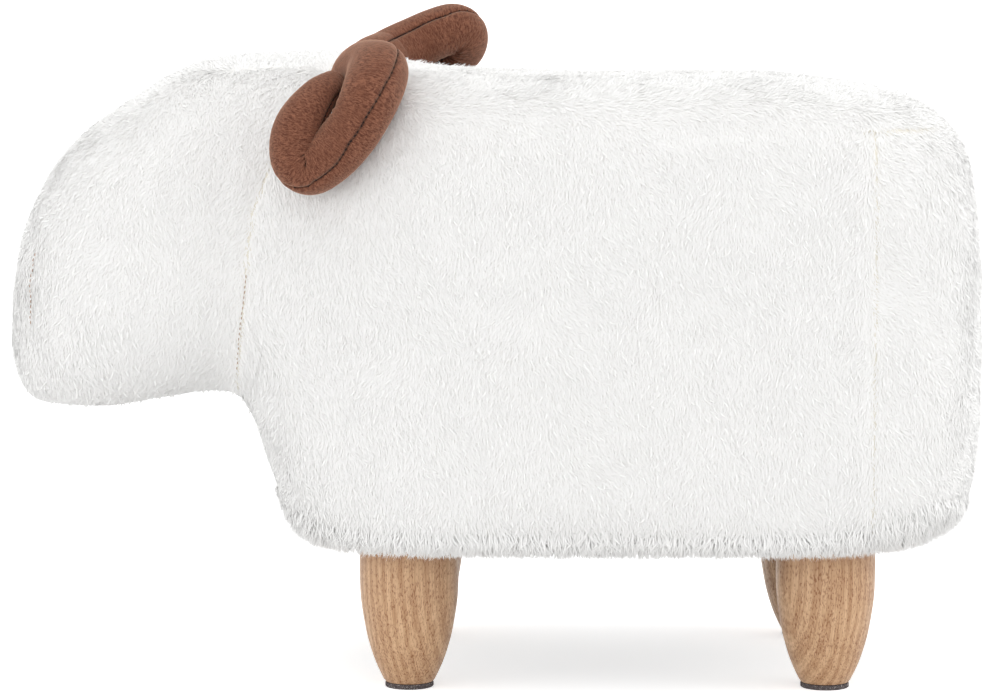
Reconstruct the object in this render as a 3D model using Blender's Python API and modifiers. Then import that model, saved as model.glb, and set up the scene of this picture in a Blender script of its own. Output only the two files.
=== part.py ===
"""Plush ram footstool: a plywood box wrapped in foam and long-pile plush, with a stuffed head, two curled
velour horns and four turned legs that screw into the base. Metres, +Z up, the head towards -X, the origin
on the floor under the middle of the body."""

import math

import bmesh
import bpy
import numpy as np
from mathutils import Vector

for old in list(bpy.data.objects):
    bpy.data.objects.remove(old, do_unlink=True)

# Driving dimensions
GAP = 0.0003
CUT_OVERRUN = 0.005
WELD = 0.00001

BODY_LENGTH = 0.603
BODY_WIDTH = 0.306
BODY_HEIGHT = 0.2825

COVER_THICKNESS = 0.006
DUST_COVER_THICKNESS = 0.0008
HEM_WRAP = 0.0065
SEAT_SEAM_DROP = 0.0285
FACE_BAND_WIDTH = 0.150

SEAT_FOAM_THICKNESS = 0.040
SIDE_FOAM_THICKNESS = 0.026
REAR_FOAM_THICKNESS = 0.061
CHEST_FOAM_THICKNESS = 0.077

BASE_THICKNESS = 0.012
BASE_CORNER_RADIUS = 0.040
SEAT_BOARD_THICKNESS = 0.012
WALL_THICKNESS = 0.009
RAIL_THICKNESS = 0.018
RAIL_HEIGHT = 0.060
POST_LENGTH = 0.024
POST_DEPTH = 0.020
POST_TO_LEG = 0.030
NECK_BOARD_THICKNESS = 0.012
NECK_BOARD_LENGTH = 0.140

LEG_HEIGHT = 0.0911
LEG_RADIUS = 0.0303
LEG_INSET_X = 0.031
LEG_INSET_Y = 0.0304
LEG_CLEARANCE = 0.001
PAD_THICKNESS = 0.003
PAD_RADIUS = 0.0148
PAD_CHAMFER = 0.0004

BOLT_RADIUS = 0.004
BOLT_IN_LEG = 0.025
BOLT_ABOVE_LEG = 0.021
BOLT_CHAMFER = 0.0008
NUT_BARREL_RADIUS = 0.0056
NUT_BARREL_LENGTH = 0.010
NUT_FLANGE_RADIUS = 0.011
NUT_FLANGE_THICKNESS = 0.0015

SCREW_LENGTH = 0.032
SCREW_RADIUS = 0.002
SCREW_HEAD_RADIUS = 0.004
SCREW_HEAD_DEPTH = 0.0025
SCREW_TIP = 0.004

HORN_SPAN = 0.100
HORN_RADIUS = 0.0175
VELOUR_THICKNESS = 0.0015

# Heights, from the floor up
LEG_BOTTOM = PAD_THICKNESS + GAP
LEG_TOP = LEG_BOTTOM + LEG_HEIGHT
DUST_COVER_BOTTOM = LEG_TOP + GAP
BASE_BOTTOM = DUST_COVER_BOTTOM + DUST_COVER_THICKNESS + GAP
BASE_TOP = BASE_BOTTOM + BASE_THICKNESS
HEM_HEIGHT = BASE_BOTTOM - GAP - COVER_THICKNESS
CROWN_HEIGHT = HEM_HEIGHT + BODY_HEIGHT
SEAT_BOARD_TOP = CROWN_HEIGHT - COVER_THICKNESS - GAP - SEAT_FOAM_THICKNESS - GAP
SEAT_BOARD_BOTTOM = SEAT_BOARD_TOP - SEAT_BOARD_THICKNESS
SEAT_SEAM_HEIGHT = CROWN_HEIGHT - SEAT_SEAM_DROP

# The box, from the cloth inwards
HALF_LENGTH = BODY_LENGTH / 2
HALF_WIDTH = BODY_WIDTH / 2
CLOTH_TO_FOAM = COVER_THICKNESS + GAP
BOX_HALF_WIDTH = HALF_WIDTH - CLOTH_TO_FOAM - SIDE_FOAM_THICKNESS - GAP
BOX_REAR = HALF_LENGTH - CLOTH_TO_FOAM - REAR_FOAM_THICKNESS - GAP
REAR_SEAM_X = BOX_REAR - HEM_WRAP - GAP

# The seam between head and body, from below the throat to above the horns: places along the half length
# from the middle, and up from the hem
NECK_SHARES = [
    (-0.570, 0.05),
    (-0.530, 0.276),
    (-0.501, 0.506),
    (-0.481, 0.718),
    (-0.425, 0.878),
    (-0.308, 1.055),
    (-0.200, 1.180),
]
NECK_LINE = [(x * HALF_LENGTH, HEM_HEIGHT + z * BODY_HEIGHT) for x, z in NECK_SHARES]
BOX_FRONT = NECK_LINE[1][0] + CHEST_FOAM_THICKNESS + GAP

# Bottom and top of the board that the head is built on, up from the hem
NECK_BOARD_SHARES = (0.345, 0.651)
NECK_BOARD_BOTTOM, NECK_BOARD_TOP = (HEM_HEIGHT + z * BODY_HEIGHT for z in NECK_BOARD_SHARES)

# The body's cross-sections from nose to rump: place along the half length, top and bottom up from the hem,
# half width, and how square the ring is above and below its widest level
FORM_SHARES = [
    (-1.000, 0.457, 0.457, 0.000, 2.3, 2.3),
    (-0.992, 0.577, 0.354, 0.261, 2.3, 2.5),
    (-0.959, 0.694, 0.297, 0.444, 2.4, 2.7),
    (-0.896, 0.818, 0.280, 0.595, 2.5, 2.9),
    (-0.806, 0.906, 0.280, 0.686, 2.6, 3.2),
    (-0.697, 0.977, 0.297, 0.732, 2.6, 3.2),
    (-0.610, 1.016, 0.304, 0.739, 2.6, 3.0),
    (-0.544, 1.027, 0.297, 0.732, 2.7, 2.8),
    (-0.504, 1.030, 0.237, 0.739, 2.8, 2.5),
    (-0.471, 1.034, 0.145, 0.750, 2.9, 2.5),
    (-0.425, 1.037, 0.042, 0.790, 3.0, 3.2),
    (-0.348, 1.037, 0.002, 0.850, 3.2, 8.0),
    (-0.242, 1.023, 0.000, 0.920, 3.8, 13.0),
    (-0.093, 1.005, 0.000, 0.982, 4.8, 14.0),
    (0.139, 1.000, 0.000, 1.000, 5.5, 14.0),
    (0.371, 1.000, 0.000, 1.000, 5.6, 14.0),
    (0.570, 0.995, 0.000, 0.993, 5.5, 14.0),
    (0.720, 0.979, 0.000, 0.974, 5.2, 11.0),
    (0.829, 0.963, 0.003, 0.922, 4.6, 7.0),
    (0.896, 0.935, 0.016, 0.850, 4.0, 5.0),
    (0.949, 0.881, 0.039, 0.725, 3.6, 4.0),
    (0.982, 0.782, 0.099, 0.549, 3.2, 3.4),
    (0.997, 0.648, 0.212, 0.353, 3.0, 3.0),
    (1.000, 0.442, 0.442, 0.000, 3.0, 3.0),
]
# The long straight part of the back needs no rings halfway between its sections
PLAIN_SECTIONS = range(10, 18)
RING_POINTS = 24
CORNER_CROWDING = 0.12

# Each horn's centre line from its root in the neck seam: along X and up Z in horn spans from the root,
# and outwards in body half widths, with its thickness as a share of the root's
HORN_ROOT_SHARES = (-0.272, 1.000)
NEAR_HORN_SHARES = [
    (-0.03, 0.40, -0.16, 1.00),
    (0.03, 0.56, 0.01, 1.00),
    (0.13, 0.77, 0.05, 0.98),
    (0.10, 0.90, -0.08, 0.94),
    (0.02, 0.93, -0.25, 0.90),
    (-0.08, 0.935, -0.38, 0.84),
    (-0.18, 0.93, -0.475, 0.77),
    (-0.28, 0.925, -0.525, 0.70),
    (-0.365, 0.92, -0.49, 0.66),
    (-0.395, 0.91, -0.39, 0.64),
    (-0.38, 0.90, -0.28, 0.61),
    (-0.33, 0.88, -0.18, 0.57),
    (-0.255, 0.84, -0.095, 0.50),
    (-0.185, 0.79, -0.045, 0.42),
    (-0.14, 0.735, -0.01, 0.29),
    (-0.115, 0.70, 0.01, 0.13),
]
FAR_HORN_SHARES = [
    (-0.03, 0.40, -0.16, 1.00),
    (0.01, 0.53, 0.00, 0.99),
    (0.12, 0.66, 0.06, 0.96),
    (0.27, 0.73, 0.135, 0.92),
    (0.415, 0.76, 0.215, 0.89),
    (0.535, 0.785, 0.24, 0.82),
    (0.61, 0.83, 0.20, 0.75),
    (0.60, 0.90, 0.115, 0.70),
    (0.515, 0.945, 0.03, 0.66),
    (0.37, 0.955, -0.01, 0.60),
    (0.24, 0.94, -0.03, 0.52),
    (0.13, 0.905, -0.01, 0.42),
    (0.045, 0.87, 0.02, 0.28),
    (0.00, 0.85, 0.035, 0.12),
]
HORN_RINGS = 17
HORN_SIDES = 10
NEAR_SEAM_TURN = math.radians(35)
FAR_SEAM_TURN = math.radians(-35)

# Turned profiles: height up the leg, and radius
LEG_SHARES = [
    (0.00, 0.495),
    (0.07, 0.600),
    (0.15, 0.703),
    (0.25, 0.800),
    (0.36, 0.880),
    (0.56, 0.975),
    (0.75, 1.000),
    (0.90, 0.995),
    (1.00, 0.970),
]

PARTS = bpy.data.collections.new("animal_footstool")
CUTTERS = bpy.data.collections.new("cutters")
for holder in (PARTS, CUTTERS):
    bpy.context.scene.collection.children.link(holder)


# Materials
def finish(name, colour, roughness, metallic=0.0):
    material = bpy.data.materials.new(name)
    material.use_nodes = True
    shader = material.node_tree.nodes["Principled BSDF"]
    shader.inputs["Base Color"].default_value = (*colour, 1.0)
    shader.inputs["Roughness"].default_value = roughness
    shader.inputs["Metallic"].default_value = metallic
    material.diffuse_color = (*colour, 1.0)
    return material


PLUSH = finish("white_plush", (0.87, 0.86, 0.84), 0.95)
VELOUR = finish("brown_velour", (0.16, 0.075, 0.047), 0.85)
TURNED_WOOD = finish("turned_rubberwood", (0.52, 0.31, 0.17), 0.5)
PLYWOOD = finish("plywood", (0.60, 0.43, 0.27), 0.7)
FOAM = finish("foam", (0.80, 0.74, 0.55), 0.9)
FIBRE = finish("fibre_fill", (0.88, 0.88, 0.86), 0.95)
FELT = finish("dark_felt", (0.15, 0.12, 0.115), 0.95)
STEEL = finish("zinc_plated_steel", (0.62, 0.62, 0.64), 0.35, 1.0)
LINING = finish("black_lining", (0.03, 0.03, 0.032), 0.9)


# Ways of making and cutting solids
def place(name, mesh, material=None):
    """Links a mesh as a part, or as a cutter where it has no material."""
    item = bpy.data.objects.new(name, mesh)
    if material:
        mesh.materials.clear()
        mesh.materials.append(material)
        PARTS.objects.link(item)
    else:
        item.hide_render = True
        item.display_type = "WIRE"
        CUTTERS.objects.link(item)
    return item


def boolean(item, other, operation):
    modifier = item.modifiers.new(other.name, "BOOLEAN")
    modifier.operation = operation
    modifier.solver = "EXACT"
    modifier.object = other


def block(name, low, high, material=None):
    """A box between two corners."""
    mesh = bpy.data.meshes.new(name)
    shape = bmesh.new()
    bmesh.ops.create_cube(shape, size=1)
    for vertex in shape.verts:
        vertex.co = [
            (a + b) / 2 + c * (b - a) for a, b, c in zip(low, high, vertex.co, strict=True)
        ]
    shape.to_mesh(mesh)
    shape.free()
    return place(name, mesh, material)


def prism(name, outline, low, high, across, material=None):
    """An outline given in the plane square to an axis, drawn out along that axis from low to high."""
    mesh = bpy.data.meshes.new(name)
    shape = bmesh.new()
    corners = []
    for a, b in outline:
        point = [a, b]
        point.insert(across, low)
        corners.append(shape.verts.new(point))
    face = shape.faces.new(corners)
    drawn = bmesh.ops.extrude_face_region(shape, geom=[face])
    travel = Vector()
    travel[across] = high - low
    tops = [g for g in drawn["geom"] if isinstance(g, bmesh.types.BMVert)]
    bmesh.ops.translate(shape, vec=travel, verts=tops)
    bmesh.ops.recalc_face_normals(shape, faces=shape.faces)
    shape.to_mesh(mesh)
    shape.free()
    return place(name, mesh, material)


def turned(name, profile, centre, steps, material=None):
    """A profile of (radius, height), read down the outside from its top, turned about a vertical axis."""
    mesh = bpy.data.meshes.new(name)
    ring_shaped = profile[0] == profile[-1]
    points = [(radius, 0, height) for radius, height in profile[: -1 if ring_shaped else None]]
    edges = [(i, i + 1) for i in range(len(points) - 1)]
    if ring_shaped:
        edges.append((len(points) - 1, 0))
    mesh.from_pydata(points, edges, [])
    item = place(name, mesh, material)
    item.location = centre
    screw = item.modifiers.new("turn", "SCREW")
    screw.steps = screw.render_steps = steps
    screw.use_merge_vertices = True
    screw.merge_threshold = WELD
    screw.use_smooth_shade = False
    return item


def smooth_line(rows, places):
    """Rows read between at fractional places by a Catmull-Rom spline; the first and last rows are guides."""
    rows = np.asarray(rows, float)
    first = np.minimum(places.astype(int), len(rows) - 4)
    u = (places - first)[:, None]
    a, b, c, d = (rows[first + k] for k in range(4))
    return (
        2 * b + (c - a) * u + (2 * a - 5 * b + 4 * c - d) * u**2 + (3 * b - a - 3 * c + d) * u**3
    ) / 2


def with_open_ends(rows):
    """Adds a guide row past each end, in line with the last two."""
    rows = np.asarray(rows, float)
    return np.vstack([2 * rows[0] - rows[1], rows, 2 * rows[-1] - rows[-2]])


def lofted(name, rings, pointed):
    """A closed skin over rings that close round. Its ends are single points, or the end rings' faces."""
    count, sides = rings.shape[:2]
    points = rings.reshape(-1, 3)
    faces = []
    for i in range(count - 1):
        for j in range(sides):
            k = (j + 1) % sides
            here, there = i * sides, (i + 1) * sides
            faces.append((here + j, here + k, there + k, there + j))
    if not pointed:
        faces += [tuple(range(sides)), tuple(range((count - 1) * sides, count * sides))]
    mesh = bpy.data.meshes.new(name)
    mesh.from_pydata([tuple(p) for p in points], [], faces)
    shape = bmesh.new()
    shape.from_mesh(mesh)
    if pointed:
        bmesh.ops.remove_doubles(shape, verts=shape.verts, dist=WELD)
    bmesh.ops.recalc_face_normals(shape, faces=shape.faces)
    bmesh.ops.triangulate(shape, faces=shape.faces)
    shape.to_mesh(mesh)
    shape.free()
    return mesh


# The upholstered form that every layer follows
def form_rings():
    """Rings from nose to rump. Each is a rounded rectangle: its radius at an angle is the one at which
    |cos|^n + |sin|^n is 1, with its own n above and below, scaled by the half width and half height."""
    rows = np.array(FORM_SHARES)
    nose, rump = rows[1].copy(), rows[-2].copy()
    for mirrored in (nose, rump):
        mirrored[[1, 2]] = mirrored[[2, 1]]
        mirrored[3] *= -1
    guided = np.vstack([nose, rows, rump])
    places = []
    for i in range(len(rows) - 1):
        places += [i] if i in PLAIN_SECTIONS else [i, i + 1 / 2]
    places.append(len(rows) - 1)
    x, top, bottom, width, square_up, square_down = smooth_line(guided, np.array(places, float)).T
    turn = (np.arange(RING_POINTS) + 1 / 2) * 2 * np.pi / RING_POINTS
    angle = turn + CORNER_CROWDING * np.sin(4 * turn)
    c, s = np.cos(angle)[None], np.sin(angle)[None]
    power = np.where(s >= 0, square_up[:, None], square_down[:, None])
    reach = (np.abs(c) ** power + np.abs(s) ** power) ** (-1 / power)
    middle = HEM_HEIGHT + (top + bottom) / 2 * BODY_HEIGHT
    half_height = (top - bottom) / 2 * BODY_HEIGHT
    across = (width * HALF_WIDTH)[:, None] * reach * c
    up = middle[:, None] + half_height[:, None] * reach * s
    along = np.broadcast_to((x * HALF_LENGTH)[:, None], across.shape)
    return np.stack([along, across, up], -1)


FORM = lofted("form", form_rings(), pointed=True)


def form_moved(name, distance, material=None):
    """The form with its surface moved outwards by a distance, or inwards where it is negative."""
    item = place(name, FORM.copy(), material)
    shift = item.modifiers.new("shift", "DISPLACE")
    shift.strength = distance
    shift.mid_level = 0
    return item


# Regions of the form, seen from the side, that the panels and the foam are cut to
FRONT_LIMIT = -HALF_LENGTH - CUT_OVERRUN
REAR_LIMIT = HALF_LENGTH + CUT_OVERRUN
LOW_LIMIT = HEM_HEIGHT - CUT_OVERRUN
HIGH_LIMIT = NECK_LINE[-1][1]
WIDE_LIMIT = HALF_WIDTH + CUT_OVERRUN


def neck_at(height):
    """How far along the neck seam lies at a height."""
    return float(np.interp(height, [z for _, z in NECK_LINE], [x for x, _ in NECK_LINE]))


def behind_neck(low, high, rear, clearance):
    """The outline behind the neck seam between two heights."""
    between = [(x + clearance, z) for x, z in NECK_LINE if low < z < high]
    ends = [(neck_at(z) + clearance, z) for z in (low, high)]
    return [ends[0], *between, ends[1], (rear, high), (rear, low)]


HEAD_OUTLINE = [
    *NECK_LINE,
    (FRONT_LIMIT, HIGH_LIMIT),
    (FRONT_LIMIT, NECK_LINE[0][1]),
]


# Frame
def rounded_outline(front, rear, half_width, radius, steps=6):
    """A rectangle seen from above with quarter circles at its corners."""
    points = []
    for x, y, begin in (
        (rear - radius, half_width - radius, 0),
        (front + radius, half_width - radius, 1),
        (front + radius, radius - half_width, 2),
        (rear - radius, radius - half_width, 3),
    ):
        for i in range(steps + 1):
            angle = (begin + i / steps) * math.pi / 2
            points.append((x + radius * math.cos(angle), y + radius * math.sin(angle)))
    return points


LEG_PLACES = {
    "front_left": (BOX_FRONT + LEG_INSET_X, LEG_INSET_Y - BOX_HALF_WIDTH),
    "front_right": (BOX_FRONT + LEG_INSET_X, BOX_HALF_WIDTH - LEG_INSET_Y),
    "rear_left": (BOX_REAR - LEG_INSET_X, LEG_INSET_Y - BOX_HALF_WIDTH),
    "rear_right": (BOX_REAR - LEG_INSET_X, BOX_HALF_WIDTH - LEG_INSET_Y),
}
WALL_BOTTOM = BASE_TOP + GAP
WALL_TOP = SEAT_BOARD_BOTTOM - GAP
INNER_HALF_WIDTH = BOX_HALF_WIDTH - WALL_THICKNESS


def screw_profile(clearance):
    """A countersunk wood screw with its head at height zero and its point below, grown by a clearance."""
    return [
        (0, 0),
        (SCREW_HEAD_RADIUS + clearance, 0),
        (SCREW_RADIUS + clearance, -SCREW_HEAD_DEPTH),
        (SCREW_RADIUS + clearance, SCREW_TIP - SCREW_LENGTH),
        (0, -SCREW_LENGTH - clearance),
    ]


def screws(holed, face, down, post_places, level):
    """Sinks one screw in the middle of each post through a board, and bores the board and the posts."""
    for corner, (x, y) in post_places.items():
        centre = (x, y, face)
        cutter = turned(f"cut_{level}_screw_{corner}", screw_profile(GAP), centre, 8)
        item = turned(f"{level}_screw_{corner}", screw_profile(0), centre, 8, STEEL)
        if not down:
            cutter.rotation_euler.x = item.rotation_euler.x = math.pi
        for bored in (holed, bpy.data.objects[f"post_{corner}"]):
            boolean(bored, cutter, "DIFFERENCE")


def make_frame():
    """The plywood box: base and seat boards, four walls, four posts, a cross rail and the neck board."""
    base = prism(
        "base_board",
        rounded_outline(BOX_FRONT, BOX_REAR, BOX_HALF_WIDTH, BASE_CORNER_RADIUS),
        BASE_BOTTOM,
        BASE_TOP,
        2,
        PLYWOOD,
    )
    for corner, (x, y) in LEG_PLACES.items():
        bore = [
            (0, BASE_TOP + CUT_OVERRUN),
            (NUT_BARREL_RADIUS + GAP, BASE_TOP + CUT_OVERRUN),
            (NUT_BARREL_RADIUS + GAP, BASE_BOTTOM - CUT_OVERRUN),
            (0, BASE_BOTTOM - CUT_OVERRUN),
        ]
        boolean(base, turned(f"cut_nut_{corner}", bore, (x, y, 0), 12), "DIFFERENCE")
    seat = block(
        "seat_board",
        (BOX_FRONT, -BOX_HALF_WIDTH, SEAT_BOARD_BOTTOM),
        (BOX_REAR, BOX_HALF_WIDTH, SEAT_BOARD_TOP),
        PLYWOOD,
    )
    for side, out in (("left", -1), ("right", 1)):
        faces = sorted((out * INNER_HALF_WIDTH, out * BOX_HALF_WIDTH))
        block(
            f"side_board_{side}",
            (BOX_FRONT, faces[0], WALL_BOTTOM),
            (BOX_REAR, faces[1], WALL_TOP),
            PLYWOOD,
        )
    end_half_width = INNER_HALF_WIDTH - GAP
    for name, front in (("front_board", BOX_FRONT), ("rear_board", BOX_REAR - WALL_THICKNESS)):
        block(
            name,
            (front, -end_half_width, WALL_BOTTOM),
            (front + WALL_THICKNESS, end_half_width, WALL_TOP),
            PLYWOOD,
        )
    post_places = {}
    for corner, (x, y) in LEG_PLACES.items():
        inwards = 1 if corner.startswith("front") else -1
        out = math.copysign(1, y)
        middle_x = x + inwards * POST_TO_LEG
        middle_y = out * (end_half_width - POST_DEPTH / 2)
        block(
            f"post_{corner}",
            (middle_x - POST_LENGTH / 2, middle_y - POST_DEPTH / 2, WALL_BOTTOM),
            (middle_x + POST_LENGTH / 2, middle_y + POST_DEPTH / 2, WALL_TOP),
            PLYWOOD,
        )
        post_places[corner] = (middle_x, middle_y)
    rail_x = (BOX_FRONT + BOX_REAR) / 2
    block(
        "cross_rail",
        (rail_x - RAIL_THICKNESS / 2, -end_half_width, WALL_TOP - RAIL_HEIGHT),
        (rail_x + RAIL_THICKNESS / 2, end_half_width, WALL_TOP),
        PLYWOOD,
    )
    screws(base, BASE_BOTTOM, False, post_places, "base")
    screws(seat, SEAT_BOARD_TOP, True, post_places, "seat")
    block(
        "neck_board",
        (BOX_FRONT - GAP - NECK_BOARD_LENGTH, -NECK_BOARD_THICKNESS / 2, NECK_BOARD_BOTTOM),
        (BOX_FRONT - GAP, NECK_BOARD_THICKNESS / 2, NECK_BOARD_TOP),
        PLYWOOD,
    )
    return block(
        "cut_neck_board",
        (
            BOX_FRONT - GAP * 2 - NECK_BOARD_LENGTH,
            -NECK_BOARD_THICKNESS / 2 - GAP,
            NECK_BOARD_BOTTOM - GAP,
        ),
        (BOX_FRONT + CUT_OVERRUN, NECK_BOARD_THICKNESS / 2 + GAP, NECK_BOARD_TOP + GAP),
    )


# Foam between the frame and the cover
def pad(name, outline, low, high, material, holes=()):
    """The part of the foam form inside an outline seen from the side, between two places across."""
    item = form_moved(name, -CLOTH_TO_FOAM, material)
    for hole in holes:
        boolean(item, hole, "DIFFERENCE")
    boolean(item, prism(f"cut_{name}", outline, low, high, 1), "INTERSECT")


def make_foam(neck_slot):
    wall_front = BOX_FRONT - GAP
    wall_rear = BOX_REAR + GAP
    seat = SEAT_BOARD_TOP + GAP
    pad(
        "seat_foam",
        behind_neck(seat, HIGH_LIMIT, REAR_LIMIT, GAP),
        -WIDE_LIMIT,
        WIDE_LIMIT,
        FOAM,
    )
    pad(
        "chest_foam",
        behind_neck(LOW_LIMIT, SEAT_BOARD_TOP, wall_front, GAP),
        -WIDE_LIMIT,
        WIDE_LIMIT,
        FOAM,
        [neck_slot],
    )
    side = [
        (BOX_FRONT, LOW_LIMIT),
        (BOX_REAR, LOW_LIMIT),
        (BOX_REAR, SEAT_BOARD_TOP),
        (BOX_FRONT, SEAT_BOARD_TOP),
    ]
    wall = BOX_HALF_WIDTH + GAP
    pad("side_foam_left", side, -WIDE_LIMIT, -wall, FOAM)
    pad("side_foam_right", side, wall, WIDE_LIMIT, FOAM)
    rear = [
        (wall_rear, LOW_LIMIT),
        (REAR_LIMIT, LOW_LIMIT),
        (REAR_LIMIT, SEAT_BOARD_TOP),
        (wall_rear, SEAT_BOARD_TOP),
    ]
    pad("rear_foam", rear, -WIDE_LIMIT, WIDE_LIMIT, FOAM)
    pad("head_filling", HEAD_OUTLINE, -WIDE_LIMIT, WIDE_LIMIT, FIBRE, [neck_slot])


# Plush cover, sewn from panels that meet at the seams
def panel(name, outline, low, high, holes=()):
    """A sewn panel: the form's skin, as thick as the plush, inside an outline seen from the side."""
    item = place(name, FORM.copy(), PLUSH)
    wall = item.modifiers.new("plush", "SOLIDIFY")
    wall.thickness = COVER_THICKNESS
    wall.offset = -1
    for hole in holes:
        boolean(item, hole, "DIFFERENCE")
    boolean(item, prism(f"cut_{name}", outline, low, high, 1), "INTERSECT")


def make_cover():
    """Seat panel, two sides that meet under the chin, rump, two cheeks and the band over the face.
    The sides turn under the base board, are pulled flat against it and end at its hem, clear of the
    legs."""
    base_room = prism(
        "cut_base_room",
        rounded_outline(
            BOX_FRONT - GAP,
            BOX_REAR + GAP,
            BOX_HALF_WIDTH + GAP,
            BASE_CORNER_RADIUS + GAP,
        ),
        BASE_BOTTOM - GAP,
        BASE_TOP + CUT_OVERRUN,
        2,
    )
    opening = prism(
        "cut_base_opening",
        rounded_outline(
            BOX_FRONT + HEM_WRAP,
            BOX_REAR - HEM_WRAP,
            BOX_HALF_WIDTH - HEM_WRAP,
            BASE_CORNER_RADIUS - HEM_WRAP,
        ),
        LOW_LIMIT,
        BASE_TOP,
        2,
    )
    reach = LEG_RADIUS + LEG_CLEARANCE
    room = [(0, BASE_BOTTOM), (reach, BASE_BOTTOM), (reach, LOW_LIMIT), (0, LOW_LIMIT)]
    leg_room = {
        corner: turned(f"cut_leg_{corner}", room, (x, y, 0), 16)
        for corner, (x, y) in LEG_PLACES.items()
    }
    seam = SEAT_SEAM_HEIGHT
    panel(
        "seat_panel",
        behind_neck(seam + GAP, HIGH_LIMIT, REAR_LIMIT, GAP),
        -WIDE_LIMIT,
        WIDE_LIMIT,
    )
    side = behind_neck(LOW_LIMIT, seam, REAR_SEAM_X, GAP)
    for name, low, high in (("left", -WIDE_LIMIT, -GAP / 2), ("right", GAP / 2, WIDE_LIMIT)):
        rooms = [leg_room[f"front_{name}"], leg_room[f"rear_{name}"]]
        panel(f"side_panel_{name}", side, low, high, [base_room, opening, *rooms])
    rump_front = REAR_SEAM_X + GAP
    rump = [(rump_front, LOW_LIMIT), (REAR_LIMIT, LOW_LIMIT), (REAR_LIMIT, seam), (rump_front, seam)]
    rooms = [leg_room["rear_left"], leg_room["rear_right"]]
    panel("rump_panel", rump, -WIDE_LIMIT, WIDE_LIMIT, [base_room, *rooms])
    band = FACE_BAND_WIDTH / 2
    panel("face_band", HEAD_OUTLINE, -band, band)
    panel("cheek_left", HEAD_OUTLINE, -WIDE_LIMIT, -band - GAP)
    panel("cheek_right", HEAD_OUTLINE, band + GAP, WIDE_LIMIT)


def make_dust_cover():
    """The lining under the base, inside the turned-up hem, pierced by the four leg bolts."""
    edge = HEM_WRAP + GAP
    item = prism(
        "dust_cover",
        rounded_outline(
            BOX_FRONT + edge,
            BOX_REAR - edge,
            BOX_HALF_WIDTH - edge,
            BASE_CORNER_RADIUS - HEM_WRAP,
        ),
        DUST_COVER_BOTTOM,
        DUST_COVER_BOTTOM + DUST_COVER_THICKNESS,
        2,
        LINING,
    )
    hole = BOLT_RADIUS + GAP * 2
    top = BASE_BOTTOM
    bottom = LEG_TOP
    for corner, (x, y) in LEG_PLACES.items():
        bore = [(0, top), (hole, top), (hole, bottom), (0, bottom)]
        boolean(item, turned(f"cut_bolt_{corner}", bore, (x, y, 0), 12), "DIFFERENCE")


# Horns
def horn_line(rows, out):
    """A horn's centre points, radii and the two directions across it at each ring. The first direction
    is carried from ring to ring without twist, starting along the body."""
    rows = np.array(rows)
    root_x = HORN_ROOT_SHARES[0] * HALF_LENGTH
    root_z = HEM_HEIGHT + HORN_ROOT_SHARES[1] * BODY_HEIGHT
    table = np.column_stack(
        [
            root_x + rows[:, 0] * HORN_SPAN,
            out * rows[:, 1] * HALF_WIDTH,
            root_z + rows[:, 2] * HORN_SPAN,
            rows[:, 3] * HORN_RADIUS,
        ]
    )
    line = smooth_line(with_open_ends(table), np.linspace(0, len(rows) - 1, HORN_RINGS))
    centre, radius = line[:, :3], line[:, 3]
    along = np.gradient(centre, axis=0)
    along /= np.linalg.norm(along, axis=1)[:, None]
    cross = np.empty_like(centre)
    side = np.array([1.0, 0, 0])
    for i, direction in enumerate(along):
        side = side - direction * (side @ direction)
        side /= np.linalg.norm(side)
        cross[i] = side
    return centre, radius, cross, np.cross(along, cross)


def swept(line, section):
    """Rings along a horn from a section given as (points, 2) for each ring."""
    centre, _, cross, third = line
    return centre[:, None] + section[..., :1] * cross[:, None] + section[..., 1:] * third[:, None]


def arc(radius, begin, end, count):
    """Points on an arc about the origin, for each ring's radius."""
    angle = np.linspace(begin, end, count)
    return radius[:, None, None] * np.stack([np.cos(angle), np.sin(angle)], -1)


def make_horn(side, rows, out, turn, seat):
    """Two velour gores sewn along the tube, round a core of fibre, all seated on the cover."""
    line = horn_line(rows, out)
    radius = line[1]
    half = HORN_SIDES // 2 + 1
    for name, begin in (("outer", turn), ("inner", turn + math.pi)):
        end = begin + math.pi
        skin = arc(radius, begin, end, half)
        back = arc(radius - VELOUR_THICKNESS, end, begin, half)
        middle = (begin + end) / 2
        apart = GAP / 2 * np.array([math.cos(middle), math.sin(middle)])
        rings = swept(line, np.concatenate([skin, back], axis=1) + apart)
        gore = f"horn_{side}_{name}_gore"
        boolean(place(gore, lofted(gore, rings, pointed=False), VELOUR), seat, "DIFFERENCE")
    core = arc(radius - VELOUR_THICKNESS - GAP, turn, turn + 2 * math.pi, HORN_SIDES + 1)
    rings = swept(line, core[:, :-1])[:-1]
    filling = f"horn_{side}_filling"
    boolean(place(filling, lofted(filling, rings, pointed=False), FIBRE), seat, "DIFFERENCE")


def make_horns():
    seat = form_moved("cut_horn_seat", GAP)
    make_horn("left", NEAR_HORN_SHARES, -1, NEAR_SEAM_TURN, seat)
    make_horn("right", FAR_HORN_SHARES, 1, FAR_SEAM_TURN, seat)


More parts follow.
